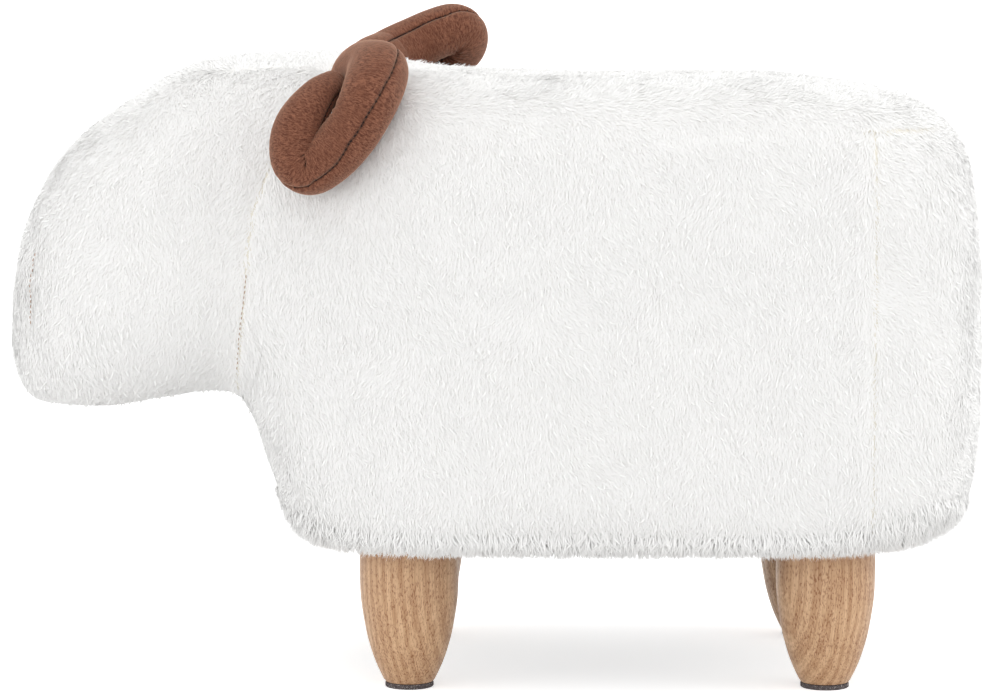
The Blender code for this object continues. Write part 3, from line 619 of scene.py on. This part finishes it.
# The seam's turn in degrees at shares of the horn's length
SEAM_TURNS = {
    "left": [(0, 62), (0.25, 58), (0.33, 61), (0.42, 74), (0.50, 73), (0.56, 61), (0.625, 58), (0.68, 0)]
    + [(0.79, -12), (0.90, -28), (1, -30)],
    "right": [(0, -60), (0.20, -70), (0.45, -70), (0.48, -80), (0.55, -100), (1, -100)],
}
# The centre line: along X and up Z in spans from the root, outwards in half widths of the body, and thickness
HORN_LINES = {
    "left": [
        (-0.03, 0.40, -0.16, 1.00),
        (0.03, 0.56, 0.01, 1.00),
        (0.13, 0.77, 0.05, 0.98),
        (0.10, 0.90, -0.08, 0.94),
        (0.02, 0.93, -0.25, 0.90),
        (-0.08, 0.935, -0.38, 0.87),
        (-0.18, 0.93, -0.475, 0.84),
        (-0.264, 0.925, -0.52, 0.83),
        (-0.332, 0.92, -0.48, 0.83),
        (-0.349, 0.91, -0.39, 0.82),
        (-0.331, 0.90, -0.285, 0.79),
        (-0.283, 0.88, -0.185, 0.72),
        (-0.218, 0.84, -0.10, 0.63),
        (-0.160, 0.79, -0.055, 0.54),
        (-0.13, 0.74, -0.02, 0.42),
        (-0.105, 0.71, 0.0, 0.36),
    ],
    "right": [
        (-0.03, 0.40, -0.16, 1.00),
        (0.01, 0.53, 0.00, 0.99),
        (0.12, 0.66, 0.06, 0.96),
        (0.27, 0.73, 0.135, 0.93),
        (0.415, 0.76, 0.205, 0.91),
        (0.54, 0.785, 0.240, 0.88),
        (0.61, 0.83, 0.20, 0.83),
        (0.60, 0.90, 0.11, 0.78),
        (0.505, 0.945, 0.03, 0.71),
        (0.37, 0.955, -0.01, 0.64),
        (0.24, 0.94, -0.03, 0.56),
        (0.13, 0.905, -0.01, 0.48),
        (0.045, 0.87, 0.02, 0.40),
        (0.00, 0.85, 0.035, 0.34),
    ],
}


def horn_line(side):
    """Centres, radii, length run so far, two directions across the tube, the bend and the seam's turn at each
    ring. The first direction is carried along without twist. The radius closes in a dome at the tip."""
    rows = np.array(HORN_LINES[side]) * (HORN_SPAN, SIDES[side] * HALF_WIDTH, HORN_SPAN, HORN_RADIUS)
    rows[:, 0] += HORN_ROOT_X
    rows[:, 2] += HORN_ROOT_Z
    places = np.linspace(HORN_START, len(rows) - 1, len(rows) * HORN_STEPS)
    centre, radius = np.split(smooth_rows(guided(rows), places), [3], 1)
    run = np.concatenate([[0], np.cumsum(np.linalg.norm(np.diff(centre, axis=0), axis=1))])
    radius = radius[:, 0]
    left = np.clip((run[-1] - run) / radius[-1], 0, 1)
    radius = radius * np.sqrt(1 - (1 - left) ** 2)
    along = unit(np.gradient(centre, axis=0))
    cross = np.empty_like(centre)
    carried = np.array([1.0, 0, 0])
    for ring, direction in enumerate(along):
        carried = unit(carried - direction * (carried @ direction))
        cross[ring] = carried
    bend = np.gradient(along, axis=0) / np.maximum(np.gradient(run), 1e-6)[:, None]
    share, turns = np.array(SEAM_TURNS[side]).T
    seam_turn = np.radians(np.interp(run / run[-1], share, turns))
    return centre, radius, run, cross, np.cross(along, cross), bend, seam_turn


def horn_point(line, ring, past_seam):
    """Points on the stuffed tube. On the inside of a bend a smooth minimum holds the reach to most of the
    bend's own radius, and folds run along the rings there. Both seams pull in as a bell round their turns."""
    centre, radius, run, cross, third, bend, seam_turn = (part[ring] for part in line)
    angle = seam_turn + past_seam
    way = cross * np.cos(angle)[..., None] + third * np.sin(angle)[..., None]
    inside = np.maximum(np.sum(bend * way, -1), 0)
    reach = radius * (1 + (radius * inside / TIGHTEST_BEND) ** 5) ** -0.2
    crush = np.clip(radius * inside / 0.8, 0, 1) * ramp(run, 0.06, 0.08)
    folds = np.sin(run * 2 * np.pi / FOLD_PITCH + 1.6 * np.sin(run * 310) + 0.8 * np.sin(3 * angle))
    apart = np.abs(np.angle(np.exp(1j * past_seam)))
    seam = np.minimum(apart, np.pi - apart) * radius
    pucker = 0.00012 * bell(seam, 0.005) * np.sin(run * 2 * np.pi / STITCH_PITCH)
    wander = 0.0003 * np.sin(run * 120 + 2 * np.sin(angle * 2))
    reach = reach + FOLD_DEPTH * crush * folds - SEAM_DEPTH * bell(seam, 0.0015) * ramp(radius, 0, 0.006)
    reach = reach + (pucker + wander) * (radius > 0.004)
    return centre + way * reach[..., None], seam


make = blank("brown_velour")
along = make.node("UVMap", {"uv_map": "velour"})
place = make.node("TexCoord", output=3)
ribbed = make.vector("MULTIPLY", along, (1500.0, 300.0, 1.0))
nap = make.node("TexNoise", {}, {0: ribbed, 2: 1.0, 3: 1.0, 4: 0.6, 8: 0.6})
speck = make.node("TexNoise", {}, {0: place, 2: 2300.0, 3: 1.0})
patch = make.node("TexNoise", {}, {0: place, 2: 95.0, 3: 3.0, 4: 0.55})
seam = make.node("Attribute", {"attribute_name": "seam"}, output=2)
depth = (nap * 0.6 + speck * 0.4).step(0.38, 0.62)
tone = depth.mix(shade(86, 47, 33), shade(142, 93, 71))
tone = (patch.step(0.35, 0.75) * 0.45).mix(tone, shade(106, 62, 44))
# Painted sheen: the velour turns lighter towards its rims, where the tube turns away from view
painted_rim_sheen = make.node("Fresnel", {}, {"IOR": 1.12})
tone = (painted_rim_sheen.step(0.02, 0.5) * 0.5).mix(tone, shade(186, 140, 116))
# Darker along both seams: painted shade in the groove the seam pulls in, with some grime in it
tone = ((1 - seam.step(0.0002, 0.0012)) * 0.5).mix(tone, shade(60, 31, 22))
bump = make.node("Bump", {}, {"Height": depth, "Strength": 0.45, "Distance": 0.0004})
VELOUR = make.surface(
    {
        "Base Color": tone,
        "Roughness": 0.85,
        "Specular IOR Level": 0.25,
        "Sheen Weight": 0.4,
        "Sheen Roughness": 0.45,
        "Sheen Tint": (0.75, 0.52, 0.38, 1),
        "Normal": bump,
    }
)


def thread(name, dark, pale):
    make = blank(name)
    twist = make.node("TexNoise", {}, {0: make.node("TexCoord", output=3), 2: 2600.0, 3: 1.0})
    return make.surface({"Base Color": twist.mix(dark, pale), "Roughness": 0.9})


BROWN_THREAD = thread("brown_thread", shade(20, 10, 8), shade(40, 20, 15))


def stitched(centres, along, up, length, radius, rings=5, sides=6):
    """Stitches in one mesh: each is a spindle about its own direction, bowed up in the middle, whose radius
    falls off as a circle's does towards its ends."""
    t = np.linspace(-1, 1, rings)
    turn = np.arange(sides) * 2 * np.pi / sides
    width = radius * np.sqrt(np.maximum(1 - t**2, 0.02))
    side = np.cross(along, up)
    spine = centres[:, None] + along[:, None] * (t * length / 2)[:, None]
    spine += up[:, None] * ((1 - t**2) * radius * 0.8)[:, None]
    ring = side[:, None, None] * np.cos(turn)[:, None] + up[:, None, None] * np.sin(turn)[:, None]
    points = spine[:, :, None] + ring * width[:, None, None]
    faces = woven(rings, sides, closed=True)
    step = np.arange(len(centres))[:, None, None] * rings * sides
    return points.reshape(-1, 3), (faces + step).reshape(-1, 4)


for side in SIDES:
    line = horn_line(side)
    rings = len(line[0])
    for gore, start in (("outer", 0), ("inner", math.pi)):
        angle = np.linspace(start, start + np.pi, HORN_ROUND // 2 + 1)
        ring, turn = np.meshgrid(np.arange(rings), angle, indexing="ij")
        points, seam = horn_point(line, ring, turn)
        quads = woven(rings, len(angle))[:, ::-1]
        cloth = placed(f"horn_{side}_{gore}_velour", points.reshape(-1, 3), quads, VELOUR)
        layer = cloth.data.uv_layers.new(name="velour")
        pairs = np.stack([line[2][ring], (turn - start) * line[1].max()], -1).reshape(-1, 2)
        corner = np.empty(len(cloth.data.loops), np.int32)
        cloth.data.loops.foreach_get("vertex_index", corner)
        layer.uv.foreach_set("vector", pairs[corner].astype(np.float32).ravel())
        thickened(cloth, seam, VELOUR_THICKNESS)
        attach(cloth, "stool")
        if gore == "outer":
            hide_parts(f"horn_{side}_outer_gore", f"horn_{side}_filling")
        else:
            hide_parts(f"horn_{side}_inner_gore")
    run = line[2]
    reach = np.arange(run[0] + FIRST_STITCH, run[-1] - LAST_STITCH, STITCH_PITCH)
    places = []
    for past_seam in (0.0, np.pi):
        ring = np.interp(reach, run, np.arange(rings)).round().astype(int)
        here, _ = horn_point(line, ring, past_seam)
        ahead, _ = horn_point(line, ring + 1, past_seam)
        along = unit(ahead - here)
        angle = (line[6][ring] + past_seam)[:, None]
        up = line[3][ring] * np.cos(angle) + line[4][ring] * np.sin(angle)
        up = unit(up - along * np.sum(up * along, 1)[:, None])
        places.append((here + up * STITCH_RADIUS * 0.9, along, up))
    made = stitched(*(np.concatenate(part) for part in zip(*places)), STITCH_LENGTH, STITCH_RADIUS)
    stitches = placed(f"horn_{side}_stitches", *made, BROWN_THREAD)
    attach(stitches, "stool")


# Cover stitches: tan thread that shows between the locks of pile where the cheeks meet the face band and
# where the neck seam runs down behind the muzzle. Each row runs between two heights, on both sides.
SEWN_PITCH = 0.0032
SEWN_LENGTH = 0.0022
SEWN_RADIUS = 0.00030
SEWN_RISE = -0.0002
NECK_ROW = (0.196, 0.256)
BAND_ROW = (0.222, 0.266)
TAN_THREAD = thread("tan_thread", shade(158, 128, 108), shade(194, 166, 146))


def seam_spots(gap, side, low, high):
    """Points and normals of the cover on a seam at even heights: means over the grid, weighted by bells of
    the distance from the seam and from each height."""
    z = skin[..., 2].ravel()
    usable = (gap.ravel() < 0.01) & (skin[..., 1].ravel() * side > 0) & (z > low - 0.01) & (z < high + 0.01)
    heights = np.arange(low, high, SEWN_PITCH)[:, None]
    weights = bell(gap.ravel()[usable], 0.002) * bell(z[usable] - heights, 0.002)
    weights /= weights.sum(1, keepdims=True)
    return weights @ skin.reshape(-1, 3)[usable], unit(weights @ skin_out.reshape(-1, 3)[usable])


front_band_gap = np.where(form[..., 0] < -0.2, band_gap, 1.0)
places = []
for side in SIDES.values():
    for gap, row in ((neck_gap, NECK_ROW), (front_band_gap, BAND_ROW)):
        here, facing = seam_spots(gap, side, *row)
        along = np.gradient(here, axis=0)
        along = unit(along - facing * np.sum(along * facing, 1)[:, None])
        sunk = SEWN_RISE + draw.normal(0, 0.0003, (len(here), 1))
        places.append((here + facing * sunk, along, facing))
made = stitched(*(np.concatenate(part) for part in zip(*places)), SEWN_LENGTH, SEWN_RADIUS)
sewn = placed("cover_stitches", *made, TAN_THREAD)
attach(sewn, "stool")


# Legs: four turned rubberwood bullet legs, sanded and given a thin clear satin coat. Each is drilled from the
# top for the hanger bolt that screws it up into the base.
LEG_LOW, LEG_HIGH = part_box("leg_front_left")
LEG_RADIUS = (LEG_HIGH[0] - LEG_LOW[0]) / 2
# Heights up the leg and radii, as shares of the whole, from the foot to the top
LEG_SHARES = np.array(
    [(0.00, 0.495), (0.07, 0.600), (0.15, 0.703), (0.25, 0.800), (0.36, 0.880), (0.56, 0.975)]
    + [(0.75, 1.000), (0.90, 0.995), (1.00, 0.970)]
)
LEG_POINTS = 73
LEG_ROUND = 72
LEG_EDGE = 0.0008
BOLT_LOW, BOLT_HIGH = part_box("hanger_bolt_front_left")
BOLT_RADIUS = (BOLT_HIGH[0] - BOLT_LOW[0]) / 2
BOLT_PLAY = 0.0003
AXIS_RADIUS = 1e-5
# The place of each leg's heart beside its axis, and how far the rings lean with height
HEARTS = {
    "front_left": ((-0.052, 0.016), 0.10),
    "front_right": ((0.040, 0.045), 0.16),
    "rear_left": ((0.055, 0.030), 0.13),
    "rear_right": ((-0.030, -0.060), 0.08),
}
RING_PITCH = 0.0052
FINE_PITCH = 0.00125


def revolved(profile, centre, steps):
    """A turned surface: a profile of radii and heights, from its lowest point up the outside and down the
    middle, carried round a vertical axis. Points on the axis are given as a tiny ring."""
    turn = np.arange(steps) * 2 * np.pi / steps
    radius, height = np.asarray(profile).T
    x = centre[0] + radius[:, None] * np.cos(turn)
    y = centre[1] + radius[:, None] * np.sin(turn)
    return np.stack([x, y, np.broadcast_to(height[:, None], x.shape)], -1)


def rubberwood(corner, heart, slope):
    """Solid wood turned from a block whose growth rings stand round a heart beside the leg: soft bands by
    the distance from it, drawn out along the grain, with short dark pores and fine lengthwise fibres."""
    make = blank("rubberwood_" + corner)
    x, y = leg_axis(corner)
    place = make.node("TexCoord", output=3)
    axis = (x + heart[0], y + heart[1], 0.0)
    here = make.vector("SUBTRACT", place, axis)
    drawn = make.vector("MULTIPLY", here, (34.0, 34.0, 7.0))
    sway = make.node("TexNoise", {}, {0: drawn, 2: 1.0, 3: 2.0}, output=1)
    bent = make.vector("ADD", here, make.vector("MULTIPLY", sway, (0.010, 0.010, 0.010)))
    span = make.vector("LENGTH", make.vector("MULTIPLY", bent, (1.0, 1.0, slope)), output=1)
    rings = make.maths("SINE", span * (2 * math.pi / RING_PITCH)) * 0.5 + 0.5
    fine = make.maths("SINE", span * (2 * math.pi / FINE_PITCH)) * 0.5 + 0.5
    long_grain = make.vector("MULTIPLY", bent, (2300.0, 2300.0, 80.0))
    strands = make.node("TexNoise", {}, {0: long_grain, 2: 1.0, 3: 2.0, 4: 0.6})
    broad_grain = make.vector("MULTIPLY", bent, (520.0, 520.0, 16.0))
    streaks = make.node("TexNoise", {}, {0: broad_grain, 2: 1.0, 3: 2.0, 4: 0.55})
    pore_place = make.vector("MULTIPLY", here, (1500.0, 1500.0, 420.0))
    pores = make.node("TexNoise", {}, {0: pore_place, 2: 1.0, 3: 1.0})
    clouds = make.node("TexNoise", {}, {0: here, 2: 48.0, 3: 2.0})
    dark_pores = (pores + clouds * 0.22).step(0.655, 0.75)
    band = (rings * 0.25 + fine * 0.15 + strands * 0.30 + streaks * 0.75 - 0.2).step(0.15, 0.9)
    tone = band.mix(shade(218, 180, 141), shade(170, 126, 86))
    tone = (clouds.step(0.4, 0.75) * 0.35).mix(tone, shade(188, 148, 112))
    tone = (strands.step(0.55, 0.8) * 0.5).mix(tone, shade(150, 106, 70))
    tone = (dark_pores * (0.55 + rings * 0.3)).mix(tone, shade(134, 84, 50))
    # Painted shade: the top of the leg darkens where it goes up under the fur's hem
    height = make.node("SeparateXYZ", {}, {0: place}, 2)
    tone = (height.step(0.070, 0.094) * 0.40).mix(tone, shade(146, 98, 62))
    relief = strands * 0.4 - dark_pores
    bump = make.node("Bump", {}, {"Height": relief, "Strength": 0.30, "Distance": 0.0002})
    coat = {"Coat Weight": 0.12, "Coat Roughness": 0.3}
    return make.surface({"Base Color": tone, "Roughness": dark_pores * 0.2 + 0.46, "Normal": bump, **coat})


def rounded_edges(low, high, edge):
    """The lower and the upper edge of a disc or a leg, each a quarter circle in radius and height, from a
    radius and height at the foot and at the top."""
    turn = np.linspace(0, np.pi / 2, 5)
    lower = np.stack([low[0] - edge + edge * np.sin(turn), low[1] + edge * (1 - np.cos(turn))], 1)
    upper = np.stack([high[0] - edge + edge * np.cos(turn), high[1] - edge * (1 - np.sin(turn))], 1)
    return lower, upper


side_line = smooth_rows(guided(LEG_SHARES), np.linspace(0, len(LEG_SHARES) - 1, LEG_POINTS))
side_line = side_line[:, ::-1] * (LEG_RADIUS, LEG_HIGH[2] - LEG_LOW[2]) + (0, LEG_LOW[2])
foot, head = rounded_edges(side_line[0], side_line[-1], LEG_EDGE)
bore, bore_end = BOLT_RADIUS + BOLT_PLAY, BOLT_LOW[2] - BOLT_PLAY
profile = np.vstack(
    [
        (AXIS_RADIUS, LEG_LOW[2]),
        foot,
        side_line[(side_line[:, 1] > foot[-1, 1]) & (side_line[:, 1] < head[0, 1])],
        head,
        (bore, LEG_HIGH[2]),
        (bore, bore_end),
        (AXIS_RADIUS, bore_end),
    ]
)
for corner in CORNERS:
    rings = revolved(profile, leg_axis(corner), LEG_ROUND)
    faces = woven(len(rings), LEG_ROUND, closed=True)[:, ::-1]
    leg = placed(f"turned_leg_{corner}", rings.reshape(-1, 3), faces, rubberwood(corner, *HEARTS[corner]))
    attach(leg, "leg_" + corner)
    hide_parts("leg_" + corner)


# Hanger bolts: zinc-plated steel, with a machine thread above that turns in the tee nut and a coarser wood
# thread below, glued into the leg. The thread is a right-hand helix.
THREAD_PITCH = 0.00125
THREAD_DEPTH = 0.00075
WOOD_PITCH = 0.0026
WOOD_DEPTH = 0.0009
PLAIN_NECK = 0.0016
WOOD_POINT = 0.0032
THREAD_CHAMFER = 0.0012
BOLT_RINGS = 420
BOLT_ROUND = 24

make = blank("zinc_plate")
place = make.node("TexCoord", output=3)
cloud = make.node("TexNoise", {}, {0: place, 2: 260.0, 3: 3.0})
spangle = make.node("TexVoronoi", {}, {0: place, 2: 700.0})
tone = (cloud.step(0.3, 0.7) * 0.6 + spangle * 0.4).mix(shade(176, 180, 186), shade(208, 209, 206))
ZINC = make.surface({"Base Color": tone, "Metallic": 1.0, "Roughness": cloud * 0.2 + 0.28})


def bolt_rings(corner):
    """Radius as a function of turn and height: a saw tooth whose phase is height over pitch less the turn,
    fine above the leg and coarse inside it, with a plain neck between and a cone at each end."""
    x, y = leg_axis(corner)
    low, high = BOLT_LOW[2], BOLT_HIGH[2]
    z = np.linspace(low, high, BOLT_RINGS)[:, None]
    turn = (np.arange(BOLT_ROUND) * 2 * np.pi / BOLT_ROUND)[None]
    fine = z > LEG_HIGH[2] + 0.001
    pitch = np.where(fine, THREAD_PITCH, WOOD_PITCH)
    phase = (z / pitch - turn / (2 * np.pi)) % 1.0
    tooth = np.abs(2 * phase - 1)
    depth = np.where(fine, THREAD_DEPTH, WOOD_DEPTH) * (np.abs(z - LEG_HIGH[2]) >= PLAIN_NECK)
    radius = BOLT_RADIUS - depth * np.where(fine, tooth, tooth**0.7)
    ends = np.minimum((z - low) / WOOD_POINT, (high - z) / THREAD_CHAMFER)
    radius = radius * np.clip(0.45 + 0.55 * ends, 0, 1)
    radius = np.concatenate([radius[:1] * 0.01, radius, radius[-1:] * 0.01])
    z = np.concatenate([z[:1], z, z[-1:]])
    return np.stack([x + radius * np.cos(turn), y + radius * np.sin(turn), z + 0 * turn], -1)


for corner in CORNERS:
    rings = bolt_rings(corner)
    quads = woven(len(rings), BOLT_ROUND, closed=True)[:, ::-1]
    bolt = placed(f"threaded_bolt_{corner}", rings.reshape(-1, 3), quads, ZINC)
    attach(bolt, "bolt_" + corner)
    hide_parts("hanger_bolt_" + corner)


# Felt pads: discs of dark grey pressed felt, glued under the legs. Pale fibres fleck them, and the cut rim
# is fuzzy.
make = blank("grey_felt")
place = make.node("TexCoord", output=3)
matted = make.node("TexNoise", {}, {0: place, 2: 1500.0, 3: 4.0, 4: 0.7, 8: 1.2})
fleck = make.node("TexNoise", {}, {0: place, 2: 950.0, 3: 1.0, 8: 2.0}).step(0.60, 0.68)
tone = matted.step(0.3, 0.7).mix(shade(52, 46, 48), shade(112, 103, 103))
tone = fleck.mix(tone, shade(196, 190, 188))
bump = make.node("Bump", {}, {"Height": matted + fleck * 0.3, "Strength": 0.8, "Distance": 0.0005})
FELT = make.surface({"Base Color": tone, "Roughness": 1.0, "Normal": bump})

PAD_LOW, PAD_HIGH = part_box("felt_pad_front_left")
PAD_RADIUS = (PAD_HIGH[0] - PAD_LOW[0]) / 2
PAD_EDGE = 0.0006
PAD_ROUND = 144
lower, upper = rounded_edges((PAD_RADIUS, PAD_LOW[2]), (PAD_RADIUS, PAD_HIGH[2]), PAD_EDGE)
flat = [(AXIS_RADIUS, PAD_LOW[2]), (PAD_RADIUS * 0.6, PAD_LOW[2])]
rim = np.vstack([*flat, lower, upper, (AXIS_RADIUS, PAD_HIGH[2])])
for corner in CORNERS:
    rings = revolved(rim, leg_axis(corner), PAD_ROUND)
    middle = np.array([*leg_axis(corner), (PAD_LOW[2] + PAD_HIGH[2]) / 2])
    outer = np.hypot(rings[..., 0] - middle[0], rings[..., 1] - middle[1]) > PAD_RADIUS * 0.8
    fuzz = np.where(outer, 0.012 * ripple(rings, 0.0011, 51) - 0.004, 0)
    rings = middle + (rings - middle) * (1 + fuzz[..., None] * (1, 1, 0))
    quads = woven(len(rings), PAD_ROUND, closed=True)[:, ::-1]
    pad = placed(f"pressed_pad_{corner}", rings.reshape(-1, 3), quads, FELT)
    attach(pad, "leg_" + corner)
    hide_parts("felt_pad_" + corner)


# Dust cover: black spunbond cloth over the underside, cut to the base's open middle, with a hole for each
# bolt, and stapled down all round. It flutters a hair between the staples.
COVER_LOW, COVER_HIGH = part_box("dust_cover")
CLOTH_THICKNESS = 0.0003
BOLT_HOLE = 0.0065
CLOTH_ROWS = 81
CLOTH_COLUMNS = 61

make = blank("black_spunbond")
place = make.node("TexCoord", output=3)
dots = make.node("TexVoronoi", {}, {0: place, 2: 850.0, 8: 0.0}).step(0.12, 0.3)
strands = make.node("TexNoise", {}, {0: place, 2: 1800.0, 3: 3.0, 4: 0.7})
tone = (dots * 0.6 + strands * 0.4).mix(shade(22, 22, 24), shade(50, 50, 53))
bump = make.node("Bump", {}, {"Height": dots * 0.7 + strands * 0.3, "Strength": 0.6, "Distance": 0.0003})
SPUNBOND = make.surface({"Base Color": tone, "Roughness": 0.9, "Normal": bump})

half_length = (COVER_HIGH[0] - COVER_LOW[0]) / 2
half_width = (COVER_HIGH[1] - COVER_LOW[1]) / 2
middle_x = (COVER_HIGH[0] + COVER_LOW[0]) / 2
x = middle_x + half_length * np.sin(np.linspace(-np.pi / 2, np.pi / 2, CLOTH_ROWS))
beyond = np.maximum(np.abs(x - middle_x) - (half_length - BASE_CORNER), 0)
reach = half_width - BASE_CORNER + np.sqrt(np.maximum(BASE_CORNER**2 - beyond**2, 0))
y = reach[:, None] * np.linspace(-1, 1, CLOTH_COLUMNS)
x = np.broadcast_to(x[:, None], y.shape)
edge = np.minimum(half_width - np.abs(y), half_length - np.abs(x - middle_x))
flutter = 0.0003 * ripple(np.stack([x, y, 0 * x], -1), 0.035, 61) * ramp(edge, 0, 0.02)
z = (COVER_LOW[2] + COVER_HIGH[2]) / 2 + flutter - 0.0003
points = np.stack([x, y, z], -1).reshape(-1, 3)
faces = woven(CLOTH_ROWS, CLOTH_COLUMNS)[:, ::-1]
whole = ~near_leg(points[faces].mean(1), BOLT_HOLE)
lining = placed("stapled_dust_cover", points, faces[whole], SPUNBOND)
wall = lining.modifiers.new("cloth", "SOLIDIFY")
wall.thickness = CLOTH_THICKNESS
wall.offset = 0
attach(lining, "stool")
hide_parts("dust_cover")
flat = (2 * half_width, 2 * half_length)
area = flat[0] * flat[1] - (4 - math.pi) * BASE_CORNER**2


# Staples: thin bright steel wire, ten millimetres wide, driven flush every few centimetres round the edge of
# the dust cover. Their line runs round its four corners, as complex numbers in the plane of the cloth.
STAPLE_WIDTH = 0.010
STAPLE_DEPTH = 0.004
STAPLE_BEND = 0.0008
STAPLE_WIRE = 0.0006
STAPLE_SPACING = 0.036
STAPLE_INSET = 0.006
turn = np.exp(1j * np.linspace(0, np.pi / 2, 12))
corners = []
for sign_x, sign_y, begin in ((1, 1, 1), (-1, 1, 1j), (-1, -1, -1), (1, -1, -1j)):
    middle = complex(sign_x * (half_length - BASE_CORNER), sign_y * (half_width - BASE_CORNER))
    corners.append(middle_x + middle + (BASE_CORNER - STAPLE_INSET) * begin * turn)
path = np.concatenate([*corners, corners[0][:1]])
run = np.concatenate([[0], np.cumsum(np.abs(np.diff(path)))])
count = round(run[-1] / STAPLE_SPACING)
draw = np.random.default_rng(8)
spots = (np.arange(count) + draw.uniform(-0.12, 0.12, count)) * run[-1] / count % run[-1]
centre = np.interp(spots, run, path)[:, None, None]
ahead = np.interp((spots + 0.002) % run[-1], run, path)[:, None, None]
heading = np.angle(ahead - centre) + draw.normal(0, 0.06, (count, 1, 1))
turn = np.linspace(0, np.pi / 2, 4)
bend = np.stack([STAPLE_WIDTH / 2 - STAPLE_BEND * (1 - np.cos(turn)), STAPLE_BEND * (1 - np.sin(turn))], 1)
arm = np.vstack([(STAPLE_WIDTH / 2, STAPLE_DEPTH), bend])
spine = np.vstack([arm * (-1, 1), arm[::-1]])
tangent = unit(np.gradient(spine, axis=0))
square = np.array([(1, 1), (-1, 1), (-1, -1), (1, -1)]) * STAPLE_WIRE / 2
wire = spine[:, None, 0] - tangent[:, None, 1] * square[:, 0] + 1j * square[:, 1]
rise = spine[:, None, 1] + tangent[:, None, 0] * square[:, 0]
plane = centre + np.exp(1j * heading) * wire
z = np.broadcast_to(COVER_LOW[2] - 0.0001 + rise, plane.shape)
points = np.stack([plane.real, plane.imag, z], -1)
last = 4 * (len(spine) - 1)
caps = [(0, 1, 2, 3), (last + 3, last + 2, last + 1, last)]
one = np.vstack([woven(len(spine), 4, closed=True), caps])
faces = (one + np.arange(count)[:, None, None] * len(spine) * 4).reshape(-1, 4)
staples = placed("dust_cover_staples", points.reshape(-1, 3), faces, ZINC)
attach(staples, "stool")


# The box inside: birch plywood boards, posts and a rail, glued and screwed, hidden by the foam and the cover.
# Each board shows its plies along its thin direction. Screws and tee nuts are zinc plated.
PLY_PITCH = 0.0028
THIN = {
    "base_board": 2,
    "seat_board": 2,
    "side_board_left": 1,
    "side_board_right": 1,
    "front_board": 0,
    "rear_board": 0,
    "cross_rail": 0,
    "neck_board": 0,
}


def plywood(thin):
    """Plies 1.4 mm thick, pale and darker in turn by the place along the thin axis, under long grain."""
    make = blank(f"birch_plywood_{'xyz'[thin]}")
    place = make.node("TexCoord", output=3)
    split = make.node("SeparateXYZ", {}, {0: place}, thin)
    plies = make.maths("SINE", split * (2 * math.pi / PLY_PITCH)).step(-0.25, 0.25)
    stretch = [260.0, 260.0, 260.0]
    stretch[0 if thin else 1] = 18.0
    drawn = make.vector("MULTIPLY", place, tuple(stretch))
    grain = make.node("TexNoise", {}, {0: drawn, 2: 1.0, 3: 4.0, 4: 0.6})
    tone = grain.step(0.3, 0.7).mix(shade(222, 196, 156), shade(203, 172, 128))
    tone = (plies * 0.35).mix(tone, shade(172, 136, 96))
    bump = make.node("Bump", {}, {"Height": grain, "Strength": 0.2, "Distance": 0.0003})
    return make.surface({"Base Color": tone, "Roughness": 0.7, "Normal": bump})


PLYWOODS = [plywood(thin) for thin in range(3)]
for node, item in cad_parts.items():
    if node in THIN or node.startswith("post_"):
        finish = PLYWOODS[THIN.get(node, 0)]
    elif node.startswith(("base_screw", "seat_screw", "tee_nut")):
        finish = ZINC
    else:
        continue
    for layer in item.material_slots:
        layer.material = finish
